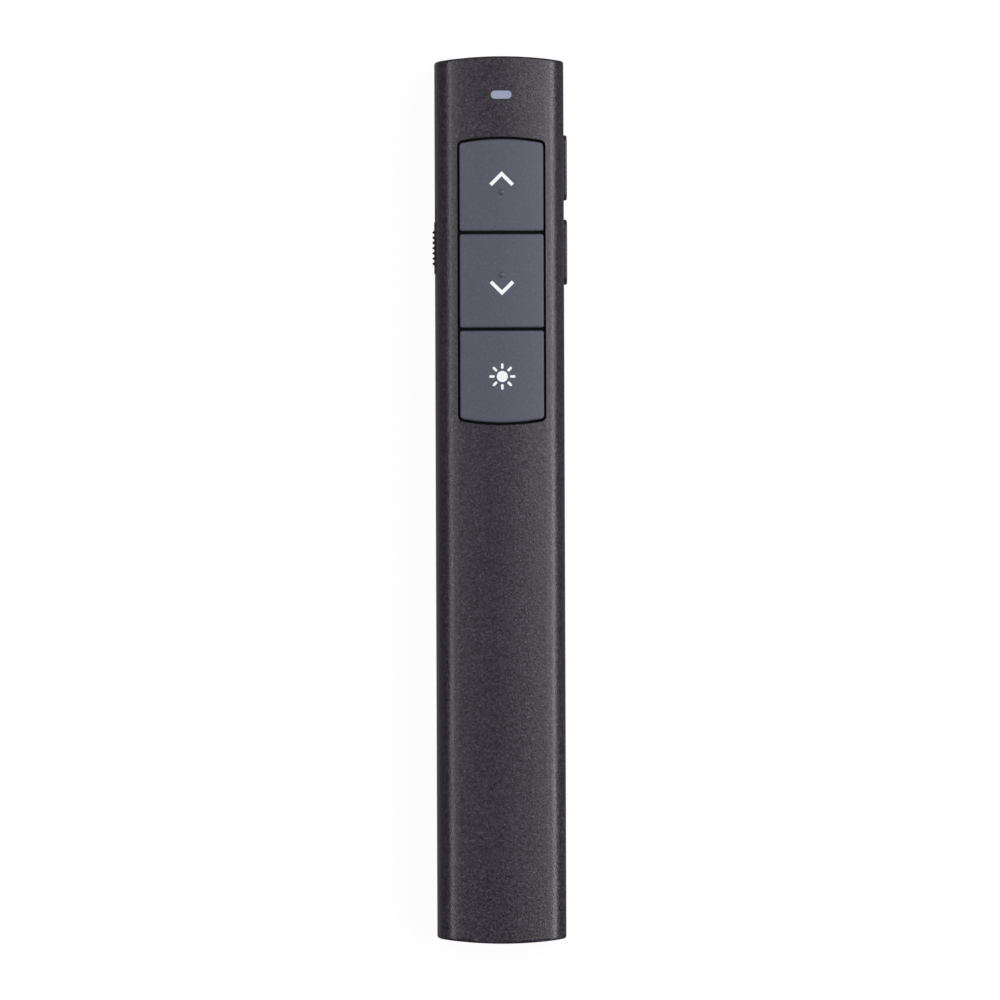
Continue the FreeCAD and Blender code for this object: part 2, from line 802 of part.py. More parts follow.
def add_top_ribs(body):
    """Partitions at the battery, screw bosses, board clamps and receiver rails."""
    seam = "parting_height + seam_clearance"
    for name, start, finish in (("front", "positive_face", "positive_face + partition"),
                                ("rear", "negative_face - partition", "negative_face")):
        grow(body, name + "_partition", "Y", start, finish, cavity_section(seam, "rib_root"))
    cut(body, "lead_notches", "Y", "negative_face - 0.1", "positive_face + partition + 0.1",
        disc("lead_side", "lead_height", "lead_diameter + 2 * lead_clearance"))
    for name, spot in (("front", "front_screw_place"), ("rear", "rear_screw_place")):
        grow(body, name + "_boss", "Z", seam, "ceiling + rib_root", disc("0", spot, "top_boss_diameter"))
        cut(body, name + "_pilot", "Z", "parting_height - 1", "screw_tip + screw_tip_room",
            disc("0", spot, "screw_shank + 2 * screw_shank_gap"))
    clamps = []
    for spot, spread in (("lower_clamp_place", "lower_clamp_spread"),
                         ("upper_clamp_place", "upper_clamp_spread")):
        for sign in ("", "-"):
            clamps.append(centred(sign + spread, spot, "clamp_width", "clamp_width"))
    grow(body, "board_clamps", "Z", "board_top + clamp_clearance", "ceiling + rib_root", *clamps)
    add_bay_ribs(body, [("-inner_end - rib_root", "head_roof"), ("-shoulder", "head_roof"),
                        ("-shoulder", "plug_roof"), ("-plug_end", "plug_roof"),
                        ("-plug_end", "ceiling + rib_root"),
                        ("-inner_end - rib_root", "ceiling + rib_root")])
    add_bay_guides(body, seam, "receiver_height + receiver_tall / 2")


def bottom_shell():
    body = new_body("bottom_shell")
    grow(body, "block", "Y", "-half_length", "half_length",
         barrel("half_width", flat_end("0", "bottom_edge_radius"), flat_end("parting_height")))
    sweep_ends(body)
    round_ends(body, "parting_height")
    bevel_seam(body)
    cut(body, "hollow", "Y", "-inner_end", "inner_end",
        barrel("inner_half", flat_end("wall", "(bottom_edge_radius - wall)"),
               flat_end("parting_height + 1")))
    grow(body, "seam_lip", "Z", "parting_height - seam_lip_height", "parting_height + seam_lip_height",
         centred("0", "0", "2 * (inner_half + seam_lip_width)", "2 * (inner_end + seam_lip_width)"),
         centred("0", "0", "2 * inner_half", "2 * inner_end"))
    add_cover_bed(body)
    add_bottom_ribs(body)
    add_board_stands(body)
    add_laser_seat(body)
    cut_receiver_door(body)
    cut_side_keys(body)
    cut_slider(body)
    cut_slider_slot(body)
    return body


def add_cover_bed(body):
    """The raised floor over the battery cover, the cover's rails and the battery hatch."""
    grow(body, "bed", "Y", "-inner_end - rib_root", "cover_front + bed_thickness",
         rectangle("-inner_half", "inner_half", "wall - rib_root", "bed_top"))
    side = "(cover_half + cover_side_gap)"
    rail = "(cover_half + tongue_reach + cover_side_gap)"
    step = "(tongue_low - cover_top_gap)"
    cut(body, "cover_rails", "Y", "-half_length - 1", "cover_front + cover_side_gap",
        outline([("-" + side, "-1"), (side, "-1"), (side, step), (rail, step), (rail, "bed_bottom"),
                 ("-" + rail, "bed_bottom"), ("-" + rail, step), ("-" + side, step)]))
    cut(body, "latch_slot", "Z", step, "bed_bottom",
        rectangle("-latch_half - cover_side_gap", "latch_half + cover_side_gap", "cover_front",
                  "cover_front + latch_reach + cover_side_gap"))
    cut(body, "battery_hatch", "Z", "0", "bed_top + 0.5",
        rectangle("-hatch_half", "hatch_half", "negative_face", "positive_face"))


def add_bottom_ribs(body):
    """Partitions at the battery, screw bosses and the receiver's rails."""
    seam = "parting_height - seam_clearance"
    root = "(bed_top - rib_root)"
    for name, start, finish in (("front", "positive_face", "positive_face + partition"),
                                ("rear", "negative_face - partition", "negative_face")):
        grow(body, name + "_partition", "Y", start, finish,
             rectangle("-inner_half - rib_root", "inner_half + rib_root", root, seam))
    for name, spot in (("front", "front_screw_place"), ("rear", "rear_screw_place")):
        grow(body, name + "_boss", "Z", root, seam, disc("0", spot, "boss_diameter"))
        cut(body, name + "_counterbore", "Z", "0", "head_seat",
            disc("0", spot, "screw_head + 2 * screw_head_gap"))
        cut(body, name + "_screw_hole", "Z", "head_seat - 0.1", "parting_height + 1",
            disc("0", spot, "screw_shank + 2 * screw_shank_gap"))
    add_bay_ribs(body, [("-inner_end - rib_root", root), ("-plug_end", root),
                        ("-plug_end", "plug_floor"), ("-shoulder", "plug_floor"),
                        ("-shoulder", "head_floor"), ("-inner_end - rib_root", "head_floor")])
    add_bay_guides(body, root, seam)


def stand_spots():
    """The four places where the circuit board rests."""
    return [(sign + "stand_spread", spot) for sign in ("", "-")
            for spot in ("lower_stand_place", "upper_stand_place")]


def add_board_stands(body):
    grow(body, "board_stands", "Z", "wall - rib_root", "board_bottom",
         *[disc(across, up, "stand_diameter") for across, up in stand_spots()])
    grow(body, "board_pins", "Z", "board_bottom - rib_root", "board_bottom + pin_height",
         *[disc(across, up, "pin_diameter") for across, up in stand_spots()])


def add_laser_seat(body):
    """Two cradles under the laser's barrel, and its way out through the nose."""
    notch = "(barrel_diameter / 2 + cradle_clearance)"
    half = "(cradle_width / 2)"
    for name, back in (("front", "front_cradle_back"), ("rear", "rear_cradle_back")):
        start = "inner_end - " + back
        corners = [("-" + half, "wall - rib_root"), (half, "wall - rib_root"), (half, "laser_height"),
                   (notch, "laser_height"), ("0", "laser_height - " + notch),
                   ("-" + notch, "laser_height"), ("-" + half, "laser_height")]
        grow(body, name + "_cradle", "Y", start, start + " + cradle_thickness",
             outline(corners, {3: "-" + notch, 4: "-" + notch}))
    cut(body, "aperture", "Y", "inner_end - 0.5", "half_length + 1",
        disc("0", "laser_height", "aperture_diameter"))
    cut(body, "window_seat", "Y", "window_back", "half_length + 1",
        disc("0", "laser_height", "window_diameter + 2 * window_clearance"))


def battery_cover():
    body = new_body("battery_cover")
    tongue = "(cover_half + tongue_reach)"
    grow(body, "plate", "Y", "-half_length", "cover_front",
         outline([("-cover_half", "0"), ("cover_half", "0"), ("cover_half", "tongue_low"),
                  (tongue, "tongue_low"), (tongue, "cover_thickness"),
                  ("-" + tongue, "cover_thickness"), ("-" + tongue, "tongue_low"),
                  ("-cover_half", "tongue_low")]))
    grow(body, "latch", "Z", "tongue_low", "cover_thickness",
         rectangle("-latch_half", "latch_half", "cover_front - latch_root",
                   "cover_front + latch_reach"))
    sweep_ends(body)
    soften(body, "tail_rim", "end_edge_radius",
           lambda edge: lies_at(edge, "z", "0") and edge.BoundBox.YMax < value("1 - half_length"))
    cut(body, "grip_recess", "Z", "0", "grip_depth",
        rounded("0", "grip_place", "2 * grip_half", "grip_length", "grip_corner"))
    ridge = grow(body, "grip_ridge", "Z", "ridge_low", "grip_depth + rib_root",
                 centred("0", "grip_place - (ridge_count - 1) * ridge_pitch / 2",
                         "2 * (grip_half - ridge_inset)", "ridge_width"))
    repeat(body, "grip_ridges", ridge, "Y", "ridge_count", "ridge_pitch")
    return body


# The three large keys.


def face_key(name, low, high, middle, dot):
    """One large key: a hollow cap that follows the crown, with flanges, a post and maybe a dot."""
    body = new_body(name)
    grow(body, "cap", "Z", "key_bottom", "key_top + 1", barrel("key_half", low, high))
    reach = "(half_width + 1)"
    side = "(key_top - crown_radius + sqrt(crown_radius^2 - %s^2))" % reach
    cut(body, "crown", "Y", "-half_length", "half_length",
        outline([("-" + reach, side), (reach, side), (reach, "key_top + 2"),
                 ("-" + reach, "key_top + 2")], {0: "-crown_radius"}))
    soften(body, "top_rim", "key_edge", bounds_of(body, "z"))
    low_face, high_face = key_hollow(low, high)
    cut(body, "hollow", "Z", "key_bottom - 1", "key_top - key_roof - key_proud",
        rectangle("-key_half + key_wall", "key_half - key_wall", low_face, high_face))
    for side_name, near, far in (("right", "key_half - key_wall", "key_half + flange_width"),
                                 ("left", "-key_half - flange_width", "-key_half + key_wall")):
        grow(body, side_name + "_flange", "Z", "key_bottom", "key_bottom + flange_thickness",
             rectangle(near, far, low_face, high_face))
    grow(body, "post", "Z", "plunger_top", "key_top - key_roof", disc("0", middle, "post_diameter"))
    if dot is not None:
        add_dot(body, dot)
    return body


def key_hollow(low, high):
    """How far the hollow under a key reaches at its two ends."""
    inset = "(key_wall + sweep_room)"
    low_inset = inset if low[1] else "key_wall"
    high_inset = inset if high[1] else "key_wall"
    return "%s + %s" % (low[0], low_inset), "%s - %s" % (high[0], high_inset)


def add_dot(body, spot):
    """A small dome to find the key by touch."""
    ball = body.newObject("PartDesign::AdditiveSphere", "touch_dot")
    radius = "((dot_diameter / 2)^2 + dot_height^2) / (2 * dot_height)"
    ball.setExpression("Radius", bound(radius))
    ball.setExpression("Placement.Base.y", bound(spot))
    ball.setExpression("Placement.Base.z", bound("key_top + dot_height - " + radius))


def face_keys():
    """The caps of the three keys, from the laser end to the tail."""
    sweep = "(recess_sweep - key_end_gap)"
    corner = "(recess_corner - key_side_gap)"
    nose = swept_end("(recess_high - key_end_gap)", sweep, corner)
    tail = swept_end("(recess_low + key_end_gap)", sweep, corner)
    above_upper = flat_end("(upper_key_split + key_gap / 2)", "key_corner")
    below_upper = flat_end("(upper_key_split - key_gap / 2)", "key_corner")
    above_lower = flat_end("(lower_key_split + key_gap / 2)", "key_corner")
    below_lower = flat_end("(lower_key_split - key_gap / 2)", "key_corner")
    return [face_key("page_up_key", above_upper, nose, KEY_MIDDLES[0], "upper_dot_place"),
            face_key("page_down_key", above_lower, below_upper, KEY_MIDDLES[1], "lower_dot_place"),
            face_key("laser_key", tail, below_lower, KEY_MIDDLES[2], None)]


# Where the middle of each large key and its switch lies, from the laser end.
KEY_MIDDLES = ["(recess_high + upper_key_split) / 2", "(upper_key_split + lower_key_split) / 2",
               "(lower_key_split + recess_low) / 2"]
KEY_NAMES = ["page_up", "page_down", "laser"]


def key_switches():
    """The push switch under each large key."""
    bodies = []
    for name, middle in zip(KEY_NAMES, KEY_MIDDLES):
        body = new_body(name + "_switch")
        place(body, along=middle)
        grow(body, "case", "Z", "board_top", "switch_top", centred("0", "0", "switch_width", "switch_width"))
        cut(body, "plunger_hole", "Z", "board_top + switch_floor", "switch_top + 1",
            disc("0", "0", "plunger_diameter + 2 * plunger_clearance"))
        rivet_place = "switch_width / 2 - rivet_diameter"
        rivet = grow(body, "rivet", "Z", "switch_top - rivet_height", "switch_top + rivet_height",
                     disc(rivet_place, rivet_place, "rivet_diameter"))
        repeat_round(body, "rivets", rivet, "Z", 4)
        bodies.append(body)
    return bodies


def key_plungers():
    """The plunger that each large key pushes into its switch."""
    bodies = []
    for name, middle in zip(KEY_NAMES, KEY_MIDDLES):
        body = new_body(name + "_plunger")
        place(body, along=middle)
        grow(body, "stem", "Z", "plunger_bottom", "plunger_top", disc("0", "0", "plunger_diameter"))
        bodies.append(body)
    return bodies


# The side keys and their switches.

SIDE_KEYS = [("upper_side", "upper_side_key_place"), ("lower_side", "lower_side_key_place")]


def side_keys():
    bodies = []
    for name, spot in SIDE_KEYS:
        body = new_body(name + "_key")
        place(body, along=spot, up="side_axis_height")
        grow(body, "cap", "X", "side_key_inner", "half_width + side_key_proud",
             rounded("0", "0", "side_key_length", "side_key_height", "side_key_corner"))
        soften(body, "outer_rim", "side_key_edge", bounds_of(body, "x"))
        margin = "2 * (side_key_gap + side_flange_margin)"
        grow(body, "flange", "X", "side_key_inner", "side_key_inner + side_flange_thickness",
             centred("0", "0", "side_key_length + " + margin, "side_key_height + " + margin))
        bodies.append(body)
    return bodies


def side_switches():
    bodies = []
    for name, spot in SIDE_KEYS:
        body = new_body(name + "_switch")
        place(body, along=spot)
        grow(body, "case", "X", "side_switch_face - side_switch_depth", "side_switch_face",
             rectangle("-switch_width / 2", "switch_width / 2", "board_bottom - side_switch_height",
                       "board_bottom"))
        cut(body, "plunger_hole", "X",
            "side_switch_face - side_plunger_buried - side_key_travel - plunger_clearance",
            "side_switch_face + 1",
            disc("0", "side_axis_height", "side_plunger_diameter + 2 * plunger_clearance"))
        bodies.append(body)
    return bodies


def side_plungers():
    bodies = []
    for name, spot in SIDE_KEYS:
        body = new_body(name + "_plunger")
        place(body, along=spot, up="side_axis_height")
        grow(body, "stem", "X", "side_switch_face - side_plunger_buried", "side_key_inner",
             disc("0", "0", "side_plunger_diameter"))
        bodies.append(body)
    return bodies


# The power slider.


def power_slider():
    """The ribbed knob, its neck through the wall and the keeper that holds it in."""
    body = new_body("power_slider")
    place(body, along="slider_place", up="side_axis_height")
    face = "half_width + slider_proud"
    grow(body, "knob", "X", "-(%s)" % face, "-slider_back",
         centred("0", "0", "slider_length", "slider_height"))
    first = "-(rib_count - 1) * rib_pitch / 2"
    rib = grow(body, "rib", "Z", "-slider_height / 2 + rib_inset", "slider_height / 2 - rib_inset",
               outline([("-(%s) - rib_height" % face, first),
                        ("-(%s) + rib_sunk" % face, "%s - rib_base / 2" % first),
                        ("-(%s) + rib_sunk" % face, "%s + rib_base / 2" % first)]))
    repeat(body, "ribs", rib, "Y", "rib_count", "rib_pitch")
    grow(body, "neck", "X", "-slider_back", "-neck_inner", centred("0", "0", "neck_length", "neck_height"))
    grow(body, "keeper", "X", "-inner_half + flange_clearance",
         "-inner_half + flange_clearance + keeper_thickness",
         centred("0", "0", "keeper_length", "keeper_height"))
    cut(body, "fork", "X", "-inner_half + flange_clearance + keeper_thickness", "-neck_inner + 1",
        centred("0", "0", "actuator_width + 2 * actuator_gap", "neck_height + 1"))
    return body


def slide_switch():
    """The slide switch under the board and the actuator that the knob's fork carries."""
    case = new_body("power_switch")
    place(case, along="slider_place + slider_travel / 2")
    face = "-power_switch_face"
    grow(case, "case", "X", face, face + " + power_switch_depth",
         rectangle("-power_switch_length / 2", "power_switch_length / 2",
                   "board_bottom - power_switch_height", "board_bottom"))
    cut(case, "window", "X", face + " - 1", face + " + actuator_buried + plunger_clearance",
        centred("0", "side_axis_height", "actuator_width + slider_travel + 2 * plunger_clearance",
                "actuator_width + 2 * plunger_clearance"))
    actuator = new_body("power_switch_actuator")
    place(actuator, along="slider_place", up="side_axis_height")
    grow(actuator, "lever", "X", "-inner_half + 2 * flange_clearance + keeper_thickness",
         face + " + actuator_buried", centred("0", "0", "actuator_width", "actuator_width"))
    return [case, actuator]


# The circuit board.


def main_board():
    body = new_body("main_board")
    grow(body, "sheet", "Z", "board_bottom", "board_top",
         rounded("0", "(board_low + board_high) / 2", "board_width", "board_high - board_low",
                 "board_corner"))
    cut(body, "pin_holes", "Z", "board_bottom - 1", "board_top + 1",
        *[disc(across, up, "pin_diameter + 2 * pin_clearance") for across, up in stand_spots()])
    return body


def board_parts():
    """What is soldered to the board: the radio chip, its crystal, capacitors and the lamp."""
    chip = new_body("radio_chip")
    place(chip, along="chip_place")
    grow(chip, "case", "Z", "board_bottom - chip_height", "board_bottom",
         centred("0", "0", "chip_width", "chip_width"))
    crystal = new_body("crystal")
    place(crystal, along="crystal_place")
    grow(crystal, "case", "Z", "board_bottom - crystal_height", "board_bottom",
         rounded("0", "0", "crystal_length", "crystal_width", "crystal_corner"))
    lamp = new_body("status_lamp")
    place(lamp, along="light_place")
    grow(lamp, "case", "Z", "board_top", "board_top + lamp_height",
         centred("0", "0", "lamp_length", "lamp_width"))
    bodies = [chip, crystal, lamp]
    for number in range(3):
        capacitor = new_body("capacitor_%d" % (number + 1))
        place(capacitor, across="chip_width", along="chip_place + %d * capacitor_pitch" % (number - 1))
        grow(capacitor, "case", "Z", "board_bottom - capacitor_height", "board_bottom",
             centred("0", "0", "capacitor_length", "capacitor_width"))
        bodies.append(capacitor)
    return bodies


def light_window():
    """The clear light pipe, flush with the face, with a collar under the ceiling."""
    body = new_body("light_window")
    place(body, along="light_place")
    grow(body, "pill", "Z", "light_collar_top - light_collar_height", "body_height - light_inset",
         stadium("0", "0", "light_length", "light_width"))
    grow(body, "collar", "Z", "light_collar_top - light_collar_height", "light_collar_top",
         stadium("0", "0", "light_length + 2 * light_collar", "light_width + 2 * light_collar"))
    grow(body, "pipe", "Z", "board_top + lamp_height + lamp_gap",
         "light_collar_top - light_collar_height", disc("0", "0", "light_width"))
    return body


# The laser.


def laser_barrel():
    body = new_body("laser_barrel")
    place(body, up="laser_height")
    outer = "barrel_diameter / 2"
    bore = "barrel_bore / 2"
    mouth = "barrel_mouth / 2"
    spin(body, "tube", "Y",
         outline([(bore, "barrel_back"), (outer, "barrel_back"), (outer, "inner_end"),
                  (mouth, "inner_end"), (mouth, "inner_end - barrel_lip"),
                  (bore, "inner_end - barrel_lip")]))
    return body


def laser_optics():
    """The lens behind the barrel's lip and the diode at the barrel's back."""
    lens = new_body("laser_lens")
    place(lens, up="laser_height")
    front = "(inner_end - barrel_lip)"
    back = "(%s - lens_thickness)" % front
    radius = "lens_diameter / 2"
    spin(lens, "glass", "Y", outline([("0", back), (radius, back + " + lens_rim"), (radius, front),
                                      ("0", front)], {0: "lens_bulge"}))
    diode = new_body("laser_diode")
    place(diode, up="laser_height")
    flange = "diode_flange / 2"
    can = "diode_can / 2"
    back = "(barrel_back + driver_gap)"
    shoulder = back + " + diode_flange_thickness"
    top = back + " + diode_length"
    spin(diode, "can", "Y", outline([("0", back), (flange, back), (flange, shoulder),
                                     (can, shoulder), (can, top), ("0", top)]))
    pins = [disc(sign + "diode_pin_spread", "(driver_thickness + diode_pin) / 2", "diode_pin")
            for sign in ("", "-")]
    grow(diode, "pins", "Y", back + " - diode_pin_length", back, *pins)
    return [lens, diode]


def laser_driver():
    body = new_body("laser_driver")
    place(body, up="laser_height")
    grow(body, "sheet", "Z", "-driver_thickness / 2", "driver_thickness / 2",
         rectangle("-driver_width / 2", "driver_width / 2", "barrel_back - driver_length", "barrel_back"))
    return body


def laser_window():
    body = new_body("laser_window")
    place(body, up="laser_height")
    spin(body, "glass", "Y",
         rectangle("0", "window_diameter / 2", "window_back", "window_back + window_thickness"))
    return body


def laser_leads():
    """Two leads from the laser's driver up to the board."""
    bodies = []
    for name, sign in (("right", ""), ("left", "-")):
        body = new_body("laser_lead_" + name)
        place(body, across=sign + "laser_lead_spread", along="barrel_back - laser_lead_back")
        grow(body, "lead", "Z", "laser_height + driver_thickness / 2", "board_bottom",
             disc("0", "0", "laser_lead_diameter"))
        bodies.append(body)
    return bodies


# The battery and its contacts.


def battery_cell():
    body = new_body("battery_cell")
    place(body, up="cell_axis")
    outer = "(cell_diameter / 2)"
    shoulder = "(cell_tip - nipple_height)"
    nipple = "(nipple_diameter / 2)"
    spin(body, "can", "Y",
         outline([("0", "cell_foot"), (outer + " - cell_edge", "cell_foot"),
                  (outer, "cell_foot + cell_edge"), (outer, shoulder + " - cell_edge"),
                  (outer + " - cell_edge", shoulder), (nipple, shoulder), (nipple, "cell_tip"),
                  ("0", "cell_tip")]))
    return body


def battery_contacts():
    """The sheet contacts at both ends of the cell. A tab on one takes the battery lead."""
    plate = centred("0", "cell_axis", "contact_width", "contact_height")
    positive = new_body("positive_contact")
    grow(positive, "plate", "Y", "cell_tip", "positive_face", plate)
    negative = new_body("negative_contact")
    grow(negative, "plate", "Y", "negative_face", "negative_plate", plate)
    grow(negative, "tab", "Y", "negative_face", "negative_plate",
         rectangle("contact_width / 2 - tab_root", "lead_side + lead_diameter / 2",
                   "lead_height - tab_height / 2", "lead_height + tab_height / 2"))
    return [positive, negative]


def spring_centre_line():
    """Quarter-turn biarcs along a spiral that narrows as it climbs, from plate to cell."""
    start = value("negative_plate + spring_wire / 2 + spring_seat_gap")
    finish = value("cell_foot - spring_wire / 2 - spring_seat_gap")
    wide = value("spring_wide")
    narrow = value("spring_narrow")
    axis = value("cell_axis")
    whole = 2 * math.pi * SPRING_TURNS

    def spot(angle):
        radius = wide + (narrow - wide) * angle / whole
        along = start + (finish - start) * angle / whole
        return FreeCAD.Vector(radius * math.cos(angle), along, axis + radius * math.sin(angle))

    def heading(angle):
        radius = wide + (narrow - wide) * angle / whole
        shrink = (narrow - wide) / whole
        return FreeCAD.Vector(shrink * math.cos(angle) - radius * math.sin(angle),
                              (finish - start) / whole,
                              shrink * math.sin(angle) + radius * math.cos(angle)).normalize()

    edges = []
    quarter = math.pi / 2
    for number in range(4 * SPRING_TURNS):
        edges += biarc(spot(number * quarter), heading(number * quarter),
                       spot((number + 1) * quarter), heading((number + 1) * quarter))
    return Part.Wire(edges)


def biarc(start, start_way, finish, finish_way):
    """Two arcs that join two points smoothly, each tangent to the way given there."""
    span = finish - start
    both = start_way + finish_way
    square = both.dot(both) - 4
    linear = -2 * span.dot(both)
    length = (-linear - math.sqrt(linear ** 2 - 4 * square * span.dot(span))) / (2 * square)
    if length < 0:
        length = (-linear + math.sqrt(linear ** 2 - 4 * square * span.dot(span))) / (2 * square)
    joint = (start + start_way * length + finish - finish_way * length) / 2
    return [tangent_arc(start, start + start_way * length, joint),
            tangent_arc(joint, finish - finish_way * length, finish)]


def tangent_arc(start, corner, finish):
    """The arc from start to finish whose tangents there meet at a corner point."""
    chord_middle = (start + finish) / 2
    half_chord = (finish - start).Length / 2
    cosine = half_chord / (corner - start).Length
    middle = chord_middle + (corner - chord_middle) * (cosine / (1 + cosine))
    return Part.Arc(start, middle, finish).toShape()


def new_feature(name, shape):
    feature = FreeCAD.ActiveDocument.addObject("Part::Feature", name)
    feature.Label = name
    feature.Shape = shape
    feature.Placement = FreeCAD.Placement()
    return feature


def tube(path, diameter):
    """A solid tube of one diameter along a smooth wire."""
    start = path.OrderedVertexes[0].Point
    way = path.OrderedEdges[0].tangentAt(path.OrderedEdges[0].FirstParameter)
    section = Part.Wire([Part.makeCircle(diameter / 2, start, way)])
    return path.makePipeShell([section], True, False)


def least_gap(path, wire):
    """The least gap between turns of a wound tube, measured on points along it."""
    points = path.discretize(Number=60 * SPRING_TURNS)
    step = path.Length / (len(points) - 1)
    apart = int(4 * wire / step) + 1
    return min((points[first] - points[second]).Length
               for first in range(len(points))
               for second in range(first + apart, len(points))) - wire


def battery_spring():
    path = spring_centre_line()
    wire = value("spring_wire")
    print("battery spring: least gap to itself %.2f mm" % least_gap(path, wire))
    return new_feature("battery_spring", tube(path, wire))


def battery_lead():
    """The lead from the negative contact's tab, past the cell, down to the board."""
    side = value("lead_side")
    height = value("lead_height")
    turned = side - value("lead_shift")
    landing = value("board_low + lead_board_inset")
    start = FreeCAD.Vector(side, value("negative_plate"), height)
    first = FreeCAD.Vector(side, value("positive_face + lead_straight_past"), height)
    second = FreeCAD.Vector(turned, landing, height)
    finish = FreeCAD.Vector(turned, landing, value("board_top"))
    path = Part.Wire(rounded_route([start, first, second, finish]))
    return new_feature("battery_lead", tube(path, value("lead_diameter")))


def rounded_route(points):
    """Straight runs joined by tangent arcs as large as the shorter run allows."""
    edges = []
    last = points[0]
    for before, corner, after in zip(points, points[1:], points[2:]):
        back = (before - corner).normalize()
        onward = (after - corner).normalize()
        reach = 0.45 * min((before - corner).Length, (after - corner).Length)
        start = corner + back * reach
        finish = corner + onward * reach
        edges.append(Part.makeLine(last, start))
        edges.append(tangent_arc(start, corner, finish))
        last = finish
    edges.append(Part.makeLine(last, points[-1]))
    return edges


def case_screws():
    """Two pan-head screws, driven from under the battery cover."""
    bodies = []
    for name, spot in (("front", "front_screw_place"), ("rear", "rear_screw_place")):
        body = new_body(name + "_screw")
        place(body, along=spot)
        grow(body, "head", "Z", "head_seat - screw_head_height", "head_seat", disc("0", "0", "screw_head"))
        soften(body, "head_rim", "screw_head_bevel", bounds_of(body, "z", last=False), kind="Chamfer")
        grow(body, "shank", "Z", "head_seat", "screw_tip", disc("0", "0", "screw_shank"))
        slot = cut(body, "slot", "Z", "head_seat - screw_head_height - 1",
                   "head_seat - screw_head_height + screw_slot_depth",
                   centred("0", "0", "screw_slot_length", "screw_slot"))
        repeat_round(body, "cross", slot, "Z", 4)
        bodies.append(body)
    return bodies


# The receiver.


def receiver():
    """The radio receiver that is kept in the tail: head, plug shell and contact tongue."""
    head = new_body("receiver_head")
    place(head, up="receiver_height")
    grow(head, "block", "Y", "-half_length", "-receiver_face",
         rounded("0", "0", "receiver_width", "receiver_tall", "receiver_corner"))
    reach = "(half_width + 1)"
    side = "(end_sweep - half_length - sqrt(end_sweep^2 - %s^2))" % reach
    cut(head, "end_sweep_cut", "Z", "-receiver_tall", "receiver_tall",
        outline([("-" + reach, "-half_length - 2"), (reach, "-half_length - 2"), (reach, side),
                 ("-" + reach, side)], {2: "-end_sweep"}))
    cut(head, "nail_groove", "X", "-groove_half", "groove_half",
        rectangle("-half_length - 1", "-half_length + groove_depth", "-groove_height / 2",
                  "groove_height / 2"))
    shell = new_body("receiver_plug")
    place(shell, up="receiver_height")
    grow(shell, "sleeve", "Y", "-receiver_face", "-plug_end",
         rounded("0", "0", "plug_width", "plug_tall", "plug_corner"),
         rounded("0", "0", "plug_width - 2 * plug_sheet", "plug_tall - 2 * plug_sheet",
                 "(plug_corner - plug_sheet)"))
    cut(shell, "latch_holes", "Z", "-plug_tall", "plug_tall",
        *[centred(sign + "plug_hole_spread", "-plug_end - plug_hole_back", "plug_hole", "plug_hole")
          for sign in ("", "-")])
    tongue = new_body("receiver_tongue")
    place(tongue, up="receiver_height")
    grow(tongue, "strip", "Y", "-receiver_face", "-plug_end - tongue_short",
         rectangle("-tongue_width / 2", "tongue_width / 2", "0", "tongue_thickness"))
    return [head, shell, tongue]


def all_pieces():
    """Every piece, in the order in which the parts are listed."""
    pieces = [top_shell(), bottom_shell(), battery_cover()]
    pieces += face_keys() + key_switches() + key_plungers()
    pieces += side_keys() + side_switches() + side_plungers()
    pieces += [power_slider()] + slide_switch()
    pieces += [main_board()] + board_parts() + [light_window()]
    pieces += [laser_barrel()] + laser_optics() + [laser_driver(), laser_window()] + laser_leads()
    pieces += [battery_cell(), battery_spring(), battery_lead()] + battery_contacts()
    pieces += case_screws() + receiver()
    return pieces


def faults(document, pieces):
    """What failed: broken objects, cuts or pads that change nothing, and unsound solids."""
    found = []
    for item in document.Objects:
        if "Invalid" in item.State or "Error" in item.State:
            found.append("%s failed" % item.Name)
            continue
        base = getattr(item, "BaseFeature", None)
        if item.TypeId == "PartDesign::Pocket" and item.Shape.Volume > base.Shape.Volume - 1e-4:
            found.append("%s cuts nothing" % item.Name)
        if item.TypeId == "PartDesign::Pad" and base and item.Shape.Volume < base.Shape.Volume + 1e-4:
            found.append("%s adds nothing" % item.Name)
    for piece in pieces:
        if piece.Shape.isNull() or not piece.Shape.isValid() or len(piece.Shape.Solids) != 1:
            found.append("%s isn't one sound solid" % piece.Label)
    return found


def main():
    document = FreeCAD.newDocument("clicker")
    make_sheet(document)
    pieces = all_pieces()
    document.recompute()
    found = faults(document, pieces)
    if found:
        raise RuntimeError("; ".join(found))
    os.makedirs("parts", exist_ok=True)
    for piece in pieces:
        piece.Shape.exportStep("parts/%s.step" % piece.Label)
    print("%d pieces written" % len(pieces))


main()
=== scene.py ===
import json
import logging
import math
from collections.abc import Callable
from dataclasses import dataclass
from enum import Enum

import bmesh
import bpy
from mathutils import Matrix, Vector

